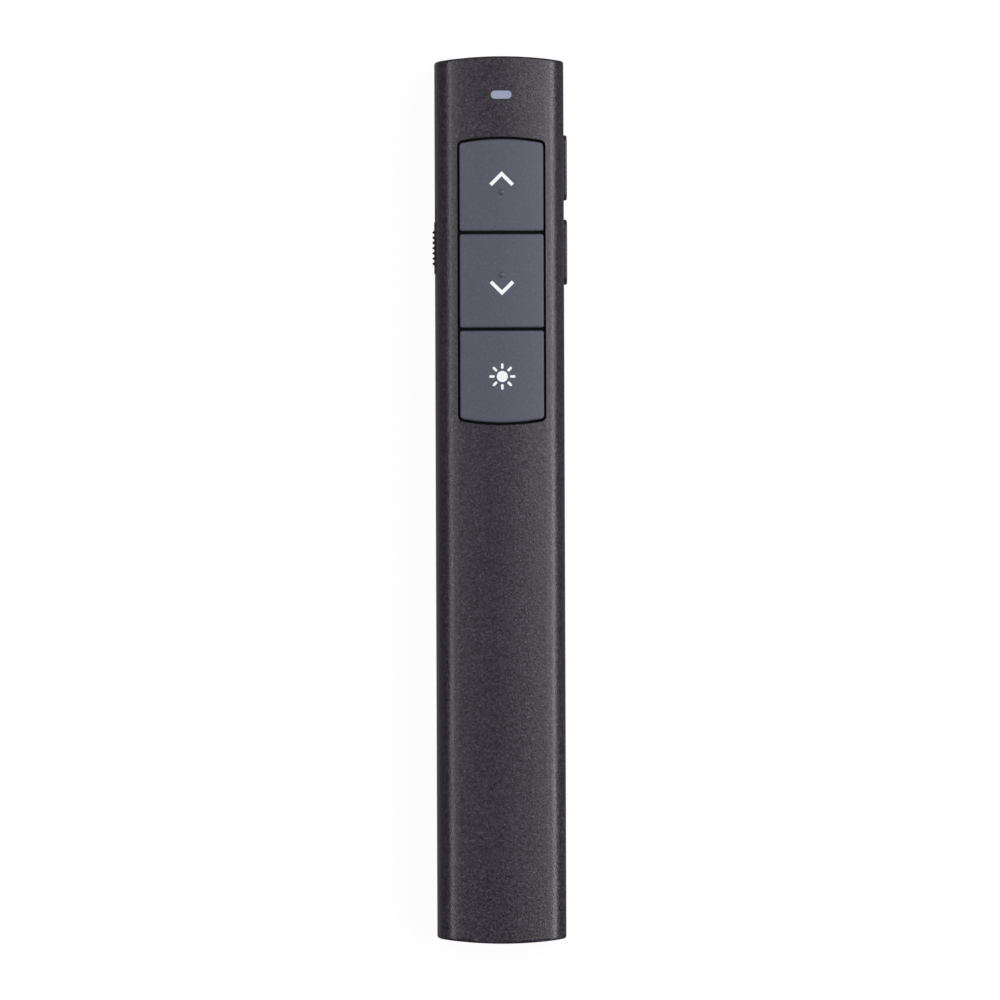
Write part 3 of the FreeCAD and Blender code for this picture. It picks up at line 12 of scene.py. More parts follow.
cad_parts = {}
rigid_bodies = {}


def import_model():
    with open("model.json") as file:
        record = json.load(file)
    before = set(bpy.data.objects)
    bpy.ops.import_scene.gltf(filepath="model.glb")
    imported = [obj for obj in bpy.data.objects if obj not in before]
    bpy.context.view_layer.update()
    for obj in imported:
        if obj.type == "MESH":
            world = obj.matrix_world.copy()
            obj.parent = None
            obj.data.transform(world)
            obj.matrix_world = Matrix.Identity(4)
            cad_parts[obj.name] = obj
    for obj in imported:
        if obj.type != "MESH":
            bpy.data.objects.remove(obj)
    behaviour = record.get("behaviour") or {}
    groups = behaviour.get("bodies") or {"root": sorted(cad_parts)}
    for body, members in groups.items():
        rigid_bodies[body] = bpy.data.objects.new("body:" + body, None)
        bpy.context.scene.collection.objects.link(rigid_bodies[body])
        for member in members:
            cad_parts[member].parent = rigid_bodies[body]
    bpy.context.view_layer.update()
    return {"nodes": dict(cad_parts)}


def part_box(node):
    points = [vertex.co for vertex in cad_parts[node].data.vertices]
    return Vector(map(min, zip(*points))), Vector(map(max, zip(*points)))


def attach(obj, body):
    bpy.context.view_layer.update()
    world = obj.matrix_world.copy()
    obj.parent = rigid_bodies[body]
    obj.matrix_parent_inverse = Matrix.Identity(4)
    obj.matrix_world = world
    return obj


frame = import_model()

LOG = logging.getLogger("clicker")

Rgb = tuple[float, float, float]
MM = 0.001
MERGE_GAP = 0.001 * MM
DRAWING_GAP = 1.0 * MM
PRINT_THICKNESS = 0.02 * MM
PRINT_GAP = PRINT_THICKNESS / 4


def tone(red: float, green: float, blue: float) -> Rgb:
    """Turn a colour read from a screen, 0 to 255, into the shader's linear light.

    Args:
        red: The red share.
        green: The green share.
        blue: The blue share.

    Returns:
        The linear colour.
    """
    def linear(share: float) -> float:
        """One share in linear light."""
        share /= 255
        return share / 12.92 if share <= 0.04045 else ((share + 0.055) / 1.055) ** 2.4
    return linear(red), linear(green), linear(blue)


# Shader node groups that several finishes share.


@dataclass
class NodeSheet:
    """A small helper that places and joins nodes in one tree."""

    tree: bpy.types.NodeTree
    column: int = 0
    column_step: int = 190
    row_step: int = -180
    rows: int = 3

    def add(self, kind: str, **settings: object) -> bpy.types.Node:
        """Add a node and set its properties.

        Args:
            kind: The node's type name.
            **settings: Properties to set on it.

        Returns:
            The new node.
        """
        node = self.tree.nodes.new(kind)
        node.location = (self.column * self.column_step, self.column % self.rows * self.row_step)
        self.column += 1
        for name, setting in settings.items():
            setattr(node, name, setting)
        return node

    def join(self, source: bpy.types.NodeSocket, target: bpy.types.NodeSocket) -> None:
        """Link one socket to another."""
        self.tree.links.new(source, target)

    def compute(self, operation: str, first: bpy.types.NodeSocket | float,
                second: bpy.types.NodeSocket | float) -> bpy.types.NodeSocket:
        """Add a math node on two sockets or plain numbers.

        Args:
            operation: The math node's operation.
            first: A socket or a number.
            second: A socket or a number.

        Returns:
            The result's socket.
        """
        node = self.add("ShaderNodeMath", operation=operation)
        for slot, given in enumerate((first, second)):
            if isinstance(given, bpy.types.NodeSocket):
                self.join(given, node.inputs[slot])
            else:
                node.inputs[slot].default_value = float(given)
        return node.outputs[0]


class Effect(Enum):
    """The effects that are built once as node groups."""

    GRAIN = "fine_grain"
    HANDLING = "handling"
    BRUSHING = "brushing"


class EffectShelf:
    """Builds each shared effect's node group the first time that it is asked for."""

    centre: float = 0.5
    pit_detail: float = 3.0
    pit_roughness: float = 0.7
    # The glint settings shape the mask of painted glints: spots where the base colour is lifted to stand
    # in for glints of light.
    glint_detail: float = 1.0
    glint_fineness: float = 1.37
    glint_start: float = 0.53
    glint_full: float = 0.78
    touch_detail: float = 4.0
    touch_distortion: float = 0.4
    touch_gain: float = 2.0
    line_detail: float = 2.0
    line_stretch: float = 0.04
    line_swing: float = 0.3

    def __init__(self) -> None:
        """Start with no groups made."""
        self.made: dict[Effect, bpy.types.NodeTree] = {}

    def get(self, effect: Effect) -> bpy.types.NodeTree:
        """Give an effect's node group.

        Args:
            effect: Which effect.

        Returns:
            Its node group.
        """
        if effect not in self.made:
            builders = {Effect.GRAIN: self.build_grain, Effect.HANDLING: self.build_handling,
                        Effect.BRUSHING: self.build_brushing}
            self.made[effect] = builders[effect]()
        return self.made[effect]

    @staticmethod
    def open_group(effect: Effect, inputs: dict[str, float],
                   outputs: dict[str, str]) -> tuple[NodeSheet, bpy.types.Node, bpy.types.Node]:
        """Make an empty group with its sockets.

        Args:
            effect: Which effect it is for.
            inputs: Each input's name and first value.
            outputs: Each output's name and socket type.

        Returns:
            The group's sheet, its input node and its output node.
        """
        tree = bpy.data.node_groups.new(effect.value, "ShaderNodeTree")
        for name, start in inputs.items():
            socket = tree.interface.new_socket(name, in_out="INPUT", socket_type="NodeSocketFloat")
            socket.default_value = start
        for name, kind in outputs.items():
            tree.interface.new_socket(name, in_out="OUTPUT", socket_type=kind)
        sheet = NodeSheet(tree)
        return sheet, sheet.add("NodeGroupInput"), sheet.add("NodeGroupOutput")

    def build_grain(self) -> bpy.types.NodeTree:
        """Make the spark-eroded texture of a moulding: small soft pits whose tone is lighter on their
        tops, and spots of painted glint.

        Returns:
            A group with a Shade mask, a mask of painted glints and a Normal.
        """
        sheet, given, result = self.open_group(
            Effect.GRAIN, {"Scale": 2600.0, "Depth": 0.00002, "Spread": 1.0},
            {"Shade": "NodeSocketFloat", "Sparkle": "NodeSocketFloat", "Normal": "NodeSocketVector"})
        place = sheet.add("ShaderNodeTexCoord")
        fine = sheet.add("ShaderNodeTexNoise")
        fine.inputs["Detail"].default_value = self.pit_detail
        fine.inputs["Roughness"].default_value = self.pit_roughness
        sheet.join(place.outputs["Object"], fine.inputs["Vector"])
        sheet.join(given.outputs["Scale"], fine.inputs["Scale"])
        centred = sheet.compute("SUBTRACT", fine.outputs["Fac"], self.centre)
        spread = sheet.compute("MULTIPLY", centred, given.outputs["Spread"])
        shade = sheet.add("ShaderNodeClamp")
        sheet.join(sheet.compute("ADD", spread, self.centre), shade.inputs["Value"])
        # Painted glints: a finer noise picks small spots where the base colour is lifted toward a glint
        # colour.
        glints = sheet.add("ShaderNodeTexNoise")
        glints.inputs["Detail"].default_value = self.glint_detail
        sheet.join(place.outputs["Object"], glints.inputs["Vector"])
        sheet.join(sheet.compute("MULTIPLY", given.outputs["Scale"], self.glint_fineness),
                   glints.inputs["Scale"])
        painted_glint_mask = sheet.add("ShaderNodeMapRange")
        painted_glint_mask.inputs["From Min"].default_value = self.glint_start
        painted_glint_mask.inputs["From Max"].default_value = self.glint_full
        sheet.join(glints.outputs["Fac"], painted_glint_mask.inputs["Value"])
        bump = sheet.add("ShaderNodeBump")
        bump.inputs["Strength"].default_value = 1.0
        sheet.join(given.outputs["Depth"], bump.inputs["Distance"])
        sheet.join(fine.outputs["Fac"], bump.inputs["Height"])
        sheet.join(shade.outputs[0], result.inputs["Shade"])
        sheet.join(painted_glint_mask.outputs[0], result.inputs["Sparkle"])
        sheet.join(bump.outputs["Normal"], result.inputs["Normal"])
        return sheet.tree

    def build_handling(self) -> bpy.types.NodeTree:
        """Make the slow change of gloss that fingers leave on a surface.

        Returns:
            A group with a Gloss value about a middle and a Patch mask.
        """
        sheet, given, result = self.open_group(
            Effect.HANDLING, {"Scale": 70.0, "Middle": 0.5, "Swing": 0.06},
            {"Gloss": "NodeSocketFloat", "Patch": "NodeSocketFloat"})
        place = sheet.add("ShaderNodeTexCoord")
        slow = sheet.add("ShaderNodeTexNoise")
        slow.inputs["Detail"].default_value = self.touch_detail
        slow.inputs["Distortion"].default_value = self.touch_distortion
        sheet.join(place.outputs["Object"], slow.inputs["Vector"])
        sheet.join(given.outputs["Scale"], slow.inputs["Scale"])
        centred = sheet.compute("SUBTRACT", slow.outputs["Fac"], self.centre)
        swing = sheet.compute("MULTIPLY", centred, given.outputs["Swing"])
        doubled = sheet.compute("MULTIPLY", swing, self.touch_gain)
        sheet.join(sheet.compute("ADD", doubled, given.outputs["Middle"]), result.inputs["Gloss"])
        sheet.join(slow.outputs["Fac"], result.inputs["Patch"])
        return sheet.tree

    def build_brushing(self) -> bpy.types.NodeTree:
        """Make the fine lines of rolled, turned or drawn metal, which run along Y.

        Returns:
            A group with Lines and Roughness values.
        """
        sheet, given, result = self.open_group(
            Effect.BRUSHING, {"Scale": 5000.0, "Roughness": 0.3},
            {"Lines": "NodeSocketFloat", "Roughness": "NodeSocketFloat"})
        place = sheet.add("ShaderNodeTexCoord")
        stretch = sheet.add("ShaderNodeMapping")
        stretch.inputs["Scale"].default_value = (1.0, self.line_stretch, 1.0)
        sheet.join(place.outputs["Object"], stretch.inputs["Vector"])
        lines = sheet.add("ShaderNodeTexNoise")
        lines.inputs["Detail"].default_value = self.line_detail
        sheet.join(stretch.outputs["Vector"], lines.inputs["Vector"])
        sheet.join(given.outputs["Scale"], lines.inputs["Scale"])
        centred = sheet.compute("SUBTRACT", lines.outputs["Fac"], self.centre)
        swing = sheet.compute("MULTIPLY", centred, self.line_swing)
        sheet.join(sheet.compute("ADD", swing, given.outputs["Roughness"]), result.inputs["Roughness"])
        sheet.join(lines.outputs["Fac"], result.inputs["Lines"])
        return sheet.tree


EFFECTS = EffectShelf()


def open_material(name: str) -> tuple[bpy.types.Material, NodeSheet, bpy.types.Node]:
    """Start a material with a Principled BSDF on its output.

    Args:
        name: The material's name.

    Returns:
        The material, its node sheet and its Principled BSDF.
    """
    material = bpy.data.materials.new(name)
    material.use_nodes = True
    material.node_tree.nodes.clear()
    sheet = NodeSheet(material.node_tree)
    shader = sheet.add("ShaderNodeBsdfPrincipled")
    output = sheet.add("ShaderNodeOutputMaterial")
    sheet.join(shader.outputs["BSDF"], output.inputs["Surface"])
    return material, sheet, shader


def place_effect(sheet: NodeSheet, effect: Effect, **values: float) -> bpy.types.Node:
    """Place a shared effect in a material with its own values.

    Args:
        sheet: The material's node sheet.
        effect: Which effect.
        **values: The group's inputs, in lower case.

    Returns:
        The group's node.
    """
    node = sheet.add("ShaderNodeGroup")
    node.node_tree = EFFECTS.get(effect)
    for name, setting in values.items():
        node.inputs[name.capitalize()].default_value = setting
    return node


def blend(sheet: NodeSheet, mask: bpy.types.NodeSocket, first: bpy.types.NodeSocket | Rgb,
          second: bpy.types.NodeSocket | Rgb) -> bpy.types.NodeSocket:
    """Mix two colours by a mask.

    Args:
        sheet: The material's node sheet.
        mask: The socket that mixes them.
        first: A colour or a socket, where the mask is 0.
        second: A colour or a socket, where the mask is 1.

    Returns:
        The mixed colour's socket.
    """
    node = sheet.add("ShaderNodeMix", data_type="RGBA")
    sheet.join(mask, node.inputs["Factor"])
    colours = [socket for socket in node.inputs if socket.type == "RGBA"]
    for socket, given in zip(colours, (first, second)):
        if isinstance(given, bpy.types.NodeSocket):
            sheet.join(given, socket)
        else:
            socket.default_value = (*given, 1.0)
    return next(socket for socket in node.outputs if socket.type == "RGBA")


# Finishes.


@dataclass(frozen=True)
class MouldedPlastic:
    """A moulded plastic: two tones of grain, painted glints on small spots and a handled gloss."""

    name: str
    dark: Rgb
    light: Rgb
    painted_glint: Rgb
    roughness: float
    scale: float = 2600.0
    depth: float = 0.00002
    spread: float = 1.6
    specular: float = 0.5
    swing: float = 0.05

    def make(self) -> bpy.types.Material:
        """Build the material.

        Returns:
            The material.
        """
        material, sheet, shader = open_material(self.name)
        grain = place_effect(sheet, Effect.GRAIN, scale=self.scale, depth=self.depth, spread=self.spread)
        handling = place_effect(sheet, Effect.HANDLING, middle=self.roughness, swing=self.swing)
        ground = blend(sheet, grain.outputs["Shade"], self.dark, self.light)
        # The glint colour on those spots is a painted glint, laid into the base colour.
        sheet.join(blend(sheet, grain.outputs["Sparkle"], ground, self.painted_glint),
                   shader.inputs["Base Color"])
        sheet.join(handling.outputs["Gloss"], shader.inputs["Roughness"])
        sheet.join(grain.outputs["Normal"], shader.inputs["Normal"])
        shader.inputs["Specular IOR Level"].default_value = self.specular
        return material


@dataclass(frozen=True)
class DrawnMetal:
    """A rolled, turned or plated metal with fine lines along it."""

    name: str
    dark: Rgb
    light: Rgb
    roughness: float
    scale: float = 5000.0

    def make(self) -> bpy.types.Material:
        """Build the material.

        Returns:
            The material.
        """
        material, sheet, shader = open_material(self.name)
        lines = place_effect(sheet, Effect.BRUSHING, scale=self.scale, roughness=self.roughness)
        sheet.join(blend(sheet, lines.outputs["Lines"], self.dark, self.light),
                   shader.inputs["Base Color"])
        sheet.join(lines.outputs["Roughness"], shader.inputs["Roughness"])
        shader.inputs["Metallic"].default_value = 1.0
        return material


@dataclass(frozen=True)
class ClearMoulding:
    """A see-through or frosted piece."""

    name: str
    dark: Rgb
    light: Rgb
    roughness: float
    transmission: float
    patch_scale: float = 900.0
    swing: float = 0.05

    def make(self) -> bpy.types.Material:
        """Build the material.

        Returns:
            The material.
        """
        material, sheet, shader = open_material(self.name)
        handling = place_effect(sheet, Effect.HANDLING, scale=self.patch_scale, middle=self.roughness,
                                swing=self.swing)
        sheet.join(blend(sheet, handling.outputs["Patch"], self.dark, self.light),
                   shader.inputs["Base Color"])
        sheet.join(handling.outputs["Gloss"], shader.inputs["Roughness"])
        shader.inputs["Transmission Weight"].default_value = self.transmission
        return material


@dataclass(frozen=True)
class CellWrap:
    """The battery's shrunk wrap: a dark body, a warm band and bare metal at both ends."""

    name: str = "cell_wrap"
    body: Rgb = tone(38, 39, 43)
    band: Rgb = tone(186, 128, 62)
    metal: Rgb = tone(196, 197, 200)
    band_share: float = 0.24
    bare_rim: float = 0.35 * MM
    button_height: float = 1.0 * MM
    patch_scale: float = 300.0
    roughness: float = 0.28
    swing: float = 0.06

    def make(self) -> bpy.types.Material:
        """Build the material from the cell's own place in the case.

        Returns:
            The material.
        """
        low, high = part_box("battery_cell")
        material, sheet, shader = open_material(self.name)
        place = sheet.add("ShaderNodeTexCoord")
        split = sheet.add("ShaderNodeSeparateXYZ")
        sheet.join(place.outputs["Object"], split.inputs["Vector"])
        along = split.outputs["Y"]
        banded = sheet.compute("GREATER_THAN", along, high[1] - self.band_share * (high[1] - low[1]))
        button = sheet.compute("GREATER_THAN", along, high[1] - self.button_height - self.bare_rim)
        base = sheet.compute("LESS_THAN", along, low[1] + self.bare_rim)
        bare = sheet.compute("ADD", button, base)
        handling = place_effect(sheet, Effect.HANDLING, scale=self.patch_scale, middle=self.roughness,
                                swing=self.swing)
        ground = blend(sheet, banded, self.body, self.band)
        sheet.join(blend(sheet, bare, ground, self.metal), shader.inputs["Base Color"])
        sheet.join(bare, shader.inputs["Metallic"])
        sheet.join(handling.outputs["Gloss"], shader.inputs["Roughness"])
        return material


@dataclass(frozen=True)
class BoardMask:
    """A circuit board's black mask over faint copper runs."""

    name: str = "board_mask"
    ground: Rgb = tone(20, 23, 24)
    run: Rgb = tone(36, 40, 41)
    run_scale: float = 420.0
    run_width: float = 0.06
    patch_scale: float = 200.0
    roughness: float = 0.32
    swing: float = 0.04

    def make(self) -> bpy.types.Material:
        """Build the material.

        Returns:
            The material.
        """
        material, sheet, shader = open_material(self.name)
        place = sheet.add("ShaderNodeTexCoord")
        runs = sheet.add("ShaderNodeTexBrick")
        runs.inputs["Scale"].default_value = self.run_scale
        runs.inputs["Mortar Size"].default_value = self.run_width
        for name, colour in (("Color1", self.ground), ("Color2", self.ground), ("Mortar", self.run)):
            runs.inputs[name].default_value = (*colour, 1.0)
        sheet.join(place.outputs["Object"], runs.inputs["Vector"])
        handling = place_effect(sheet, Effect.HANDLING, scale=self.patch_scale, middle=self.roughness,
                                swing=self.swing)
        sheet.join(runs.outputs["Color"], shader.inputs["Base Color"])
        sheet.join(handling.outputs["Gloss"], shader.inputs["Roughness"])
        return material


# The glint colour of each plastic below is a painted glint on small random spots.
CASE_FINISH = MouldedPlastic("case_plastic", dark=tone(7, 4, 9), light=tone(51, 44, 56),
                             painted_glint=tone(76, 70, 81.5), roughness=0.31, scale=2400.0, depth=0.000046,
                             spread=3.6, specular=0.56)
KEY_FINISH = MouldedPlastic("key_plastic", dark=tone(76, 76, 90), light=tone(82, 82, 96),
                            painted_glint=tone(88, 88, 102), roughness=0.44, scale=2100.0, depth=0.000003,
                            spread=1.4, swing=0.03, specular=0.38)
INK_FINISH = MouldedPlastic("legend_ink", dark=tone(232, 232, 236), light=tone(240, 240, 243),
                            painted_glint=tone(243, 243, 246), roughness=0.5, scale=4000.0, depth=0.000002)
SWITCH_FINISH = MouldedPlastic("switch_case", dark=tone(28, 28, 31), light=tone(42, 42, 45),
                               painted_glint=tone(60, 60, 63), roughness=0.42)
PLUNGER_FINISH = MouldedPlastic("plunger_plastic", dark=tone(46, 46, 49), light=tone(58, 58, 61),
                                painted_glint=tone(70, 70, 73), roughness=0.4)
CHIP_FINISH = MouldedPlastic("chip_plastic", dark=tone(24, 24, 26), light=tone(36, 36, 38),
                             painted_glint=tone(48, 48, 50), roughness=0.55)
CERAMIC_FINISH = MouldedPlastic("ceramic", dark=tone(150, 118, 82), light=tone(176, 142, 104),
                                painted_glint=tone(190, 160, 124), roughness=0.5)
LAMP_FINISH = MouldedPlastic("lamp_plastic", dark=tone(232, 226, 190), light=tone(244, 240, 214),
                             painted_glint=tone(250, 248, 232), roughness=0.25)
LEAD_FINISH = MouldedPlastic("lead_rubber", dark=tone(150, 22, 20), light=tone(172, 34, 30),
                             painted_glint=tone(186, 60, 54), roughness=0.45)
RECEIVER_FINISH = MouldedPlastic("receiver_plastic", dark=tone(42, 41, 45), light=tone(66, 64, 69),
                                 painted_glint=tone(92, 90, 95), roughness=0.48)
TONGUE_FINISH = MouldedPlastic("tongue_plastic", dark=tone(222, 222, 217), light=tone(234, 234, 230),
                               painted_glint=tone(240, 240, 237), roughness=0.4)
WINDOW_FINISH = ClearMoulding("light_window", dark=tone(141, 147, 174), light=tone(151, 157, 183),
                              roughness=0.34, transmission=0.0)
APERTURE_FINISH = ClearMoulding("laser_window", dark=tone(96, 16, 20), light=tone(120, 22, 26),
                                roughness=0.08, transmission=0.85)
LENS_FINISH = ClearMoulding("lens_glass", dark=tone(226, 230, 233), light=tone(240, 243, 245),
                            roughness=0.03, transmission=1.0)
STEEL_FINISH = DrawnMetal("steel", dark=tone(176, 177, 180), light=tone(206, 207, 209),
                          roughness=0.28)
BRASS_FINISH = DrawnMetal("barrel_brass", dark=tone(176, 142, 82), light=tone(206, 172, 104),
                          roughness=0.26)
GOLD_FINISH = DrawnMetal("contact_gold", dark=tone(206, 164, 78), light=tone(232, 196, 108),
                         roughness=0.2)

Finish = MouldedPlastic | DrawnMetal | ClearMoulding | CellWrap | BoardMask


class Wardrobe:
    """Makes each finish once and puts it on the carried-over nodes and the new pieces."""

    def __init__(self) -> None:
        """Start with no materials made."""
        self.made: dict[str, bpy.types.Material] = {}

    def dress(self, piece: bpy.types.Object, finish: Finish) -> None:
        """Give a piece its finish.

        Args:
            piece: The object to dress.
            finish: The finish that it gets.
        """
        if finish.name not in self.made:
            self.made[finish.name] = finish.make()
        piece.data.materials.clear()
        piece.data.materials.append(self.made[finish.name])

    def dress_nodes(self, finish: Finish, *names: str) -> None:
        """Give carried-over nodes their finish.

        Args:
            finish: The finish that they get.
            *names: The nodes' names.
        """
        for name in names:
            self.dress(frame["nodes"][name], finish)
            LOG.info("dressed %s in %s", name, finish.name)


# Modelling helpers.


def clear_selection() -> None:
    """Deselect every object, so that the next operator acts on the new one alone."""
    bpy.ops.object.select_all(action="DESELECT")


def settle(piece: bpy.types.Object) -> None:
    """Move a piece's place into its mesh, so that its object lies at the origin.

    Args:
        piece: The object to settle.
    """
    clear_selection()
    piece.select_set(True)
    bpy.context.view_layer.objects.active = piece
    bpy.ops.object.transform_apply(location=True, rotation=True, scale=True)


def apply_modifiers(piece: bpy.types.Object) -> None:
    """Apply all of a piece's modifiers in order.

    Args:
        piece: The object that has them.
    """
    bpy.context.view_layer.objects.active = piece
    for modifier in list(piece.modifiers):
        bpy.ops.object.modifier_apply(modifier=modifier.name)


class Element(Enum):
    """What is picked in edit mode."""

    CORNER = "VERT"
    EDGE = "EDGE"
    FACE = "FACE"


def pick(piece: bpy.types.Object, kind: Element, wanted: Callable[[object], bool]) -> None:
    """Open a piece in edit mode with only the wanted elements selected.

    Args:
        piece: The piece to open.
        kind: Whether corners, edges or faces are picked.
        wanted: Says of one element whether it is picked.
    """
    bpy.context.view_layer.objects.active = piece
    bpy.ops.object.mode_set(mode="EDIT")
    bpy.ops.mesh.select_mode(type=kind.value)
    bpy.ops.mesh.select_all(action="DESELECT")
    mesh = bmesh.from_edit_mesh(piece.data)
    elements = {Element.CORNER: mesh.verts, Element.EDGE: mesh.edges, Element.FACE: mesh.faces}[kind]
    for element in elements:
        element.select_set(wanted(element))
    bmesh.update_edit_mesh(piece.data)


def close_edit() -> None:
    """Leave edit mode."""
    bpy.ops.object.mode_set(mode="OBJECT")


def merge_corners(piece: bpy.types.Object) -> None:
    """Merge the corners of a piece that lie on each other.

    Args:
        piece: The piece to merge.
    """
    pick(piece, Element.FACE, lambda face: True)
    bpy.ops.mesh.remove_doubles(threshold=MERGE_GAP)
    close_edit()


def face_up(piece: bpy.types.Object) -> None:
    """Turn all faces of a flat shape upward.

    Args:
        piece: The flat shape.
    """
    pick(piece, Element.FACE, lambda face: face.normal.z < 0)
    bpy.ops.mesh.flip_normals()
    close_edit()


def face_outward(piece: bpy.types.Object) -> None:
    """Turn all faces of a closed piece outward.

    Args:
        piece: The closed piece.
    """
    pick(piece, Element.FACE, lambda face: True)
    bpy.ops.mesh.normals_make_consistent(inside=False)
    close_edit()


def copy_piece(piece: bpy.types.Object) -> bpy.types.Object:
    """Copy a piece with its own mesh, and leave the copy alone selected.

    Args:
        piece: The piece to copy.

    Returns:
        The copy.
    """
    clear_selection()
    piece.select_set(True)
    bpy.context.view_layer.objects.active = piece
    bpy.ops.object.duplicate(linked=False)
    return bpy.context.active_object


def join_named(keeper: bpy.types.Object, start: str) -> None:
    """Join the pieces whose names start in one way into one piece.

    Args:
        keeper: The piece that takes them in.
        start: How their names start.
    """
    clear_selection()
    for piece in bpy.context.scene.objects:
        if piece.name.startswith(start):
            piece.select_set(True)
    keeper.select_set(True)
    bpy.context.view_layer.objects.active = keeper
    bpy.ops.object.join()


def print_on(piece: bpy.types.Object, node: str) -> None:
    """Lay a flat shape on a node's upper face and give it the thickness of print.

    Args:
        piece: The flat shape, above the node.
        node: The node that it is printed on.
    """
    merge_corners(piece)
    face_up(piece)
    wrap = piece.modifiers.new("lay", "SHRINKWRAP")
    wrap.target = frame["nodes"][node]
    wrap.wrap_method = "PROJECT"
    wrap.use_project_z = True
    wrap.use_negative_direction = True
    wrap.use_positive_direction = False
    wrap.offset = PRINT_GAP
    slab = piece.modifiers.new("slab", "SOLIDIFY")
    slab.thickness = PRINT_THICKNESS
    slab.offset = 1.0
    apply_modifiers(piece)
    merge_corners(piece)
    face_outward(piece)


def finish_piece(piece: bpy.types.Object, name: str, body: str) -> bpy.types.Object:
    """Name a piece, let it ride on its body and report it.

    Args:
        piece: The finished piece.
        name: Its name.
        body: The body that it moves with.

    Returns:
        The same piece.
    """
    piece.name = name
    piece.data.name = name
    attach(piece, body)
    LOG.info("made %s on %s: %d faces", name, body, len(piece.data.polygons))
    return piece


# Sub-assemblies.


@dataclass
class Chevron:
    """A printed arrow head on one of the page keys."""

    name: str
    node: str
    body: str
    points_up: bool
    tip: float
    stroke: float = 0.54 * MM
    reach: float = 3.76 * MM
    cuts: int = 3
    side_tolerance: float = 0.05
    side_nearness: float = 0.6

    @property
    def turn(self) -> float:
        """The sign of Y that the arrow head points to."""
        return 1.0 if self.points_up else -1.0

    @property
    def half_diagonal(self) -> float:
        """Half the diagonal of the small diamond at the tip."""
        return self.stroke * math.sqrt(0.5)

    @property
    def middle(self) -> Vector:
        """The diamond's middle, seen from above."""
        return Vector((0, self.tip - self.turn * self.half_diagonal, 0))

    def build(self) -> bpy.types.Object:
        """Draw the diamond and pull both arms out of its lower sides.

        Returns:
            The finished arrow head.
        """
        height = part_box(self.node)[1][2] + DRAWING_GAP
        clear_selection()
        bpy.ops.mesh.primitive_plane_add(size=self.stroke, rotation=(0, 0, math.pi / 4),
                                         location=(0, self.middle.y, height))
        piece = bpy.context.active_object
        settle(piece)
        for side in (-1.0, 1.0):
            self.pull_arm(piece, Vector((side, -self.turn, 0)).normalized())
        pick(piece, Element.FACE, lambda face: True)
        bpy.ops.mesh.subdivide(number_cuts=self.cuts)
        close_edit()
        print_on(piece, self.node)
        return finish_piece(piece, self.name, self.body)

    def pull_arm(self, piece: bpy.types.Object, way: Vector) -> None:
        """Extrude the diamond's side that faces one way.

        Args:
            piece: The arrow head so far.
            way: The arm's direction.
        """
        def is_that_side(edge: bmesh.types.BMEdge) -> bool:
            """Whether an edge is the diamond's side that faces the way.

            Args:
                edge: The edge.

            Returns:
                True if it is.
            """
            spot = (edge.verts[0].co + edge.verts[1].co) / 2 - self.middle
            spot.z = 0
            beside = abs(spot.dot(way) - self.stroke / 2) < self.stroke * self.side_tolerance
            return beside and spot.length < self.stroke * self.side_nearness

        length = (self.reach / 2 - self.half_diagonal) * math.sqrt(2)
        pick(piece, Element.EDGE, is_that_side)
        bpy.ops.mesh.extrude_edges_move(TRANSFORM_OT_translate={"value": tuple(way * length)})
        close_edit()


@dataclass
class SunMark:
    """The printed sun on the lower key: a disc with eight round-ended rays."""

    node: str = "laser_key"
    body: str = "laser_button"
    middle: float = 18.92 * MM
    disc: float = 1.70 * MM
    ray_start: float = 1.16 * MM
    ray_end: float = 2.02 * MM
    ray_width: float = 0.40 * MM
    rays: int = 8
    disc_corners: int = 40
    ray_corners: int = 16

    def build(self) -> bpy.types.Object:
        """Make the disc and one ray, copy the ray round the disc, and join them all.

        Returns:
            The finished sun.
        """
        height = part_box(self.node)[1][2] + DRAWING_GAP
        clear_selection()
        bpy.ops.mesh.primitive_circle_add(vertices=self.disc_corners, radius=self.disc / 2,
                                          fill_type="TRIFAN", location=(0, self.middle, height))
        disc = bpy.context.active_object
        settle(disc)
        ray = self.make_ray(height)
        for number in range(1, self.rays):
            copy = copy_piece(ray)
            bpy.ops.transform.rotate(value=2 * math.pi * number / self.rays, orient_axis="Z",
                                     center_override=(0, self.middle, height))
            settle(copy)
        join_named(disc, ray.name)
        print_on(disc, self.node)
        return finish_piece(disc, "sun_mark", self.body)

    def make_ray(self, height: float) -> bpy.types.Object:
        """Stretch a small disc into the ray that points up.

        Args:
            height: The height that it is drawn at.

        Returns:
            The ray.
        """
        radius = self.ray_width / 2
        start = self.middle + self.ray_start + radius
        clear_selection()
        bpy.ops.mesh.primitive_circle_add(vertices=self.ray_corners, radius=radius, fill_type="NGON",
                                          location=(0, start, height))
        ray = bpy.context.active_object
        ray.name = "sun_ray"
        settle(ray)
        pick(ray, Element.CORNER, lambda corner: corner.co.y > start + MERGE_GAP)
        bpy.ops.transform.translate(value=(0, self.ray_end - self.ray_start - self.ray_width, 0))
        close_edit()
        return ray


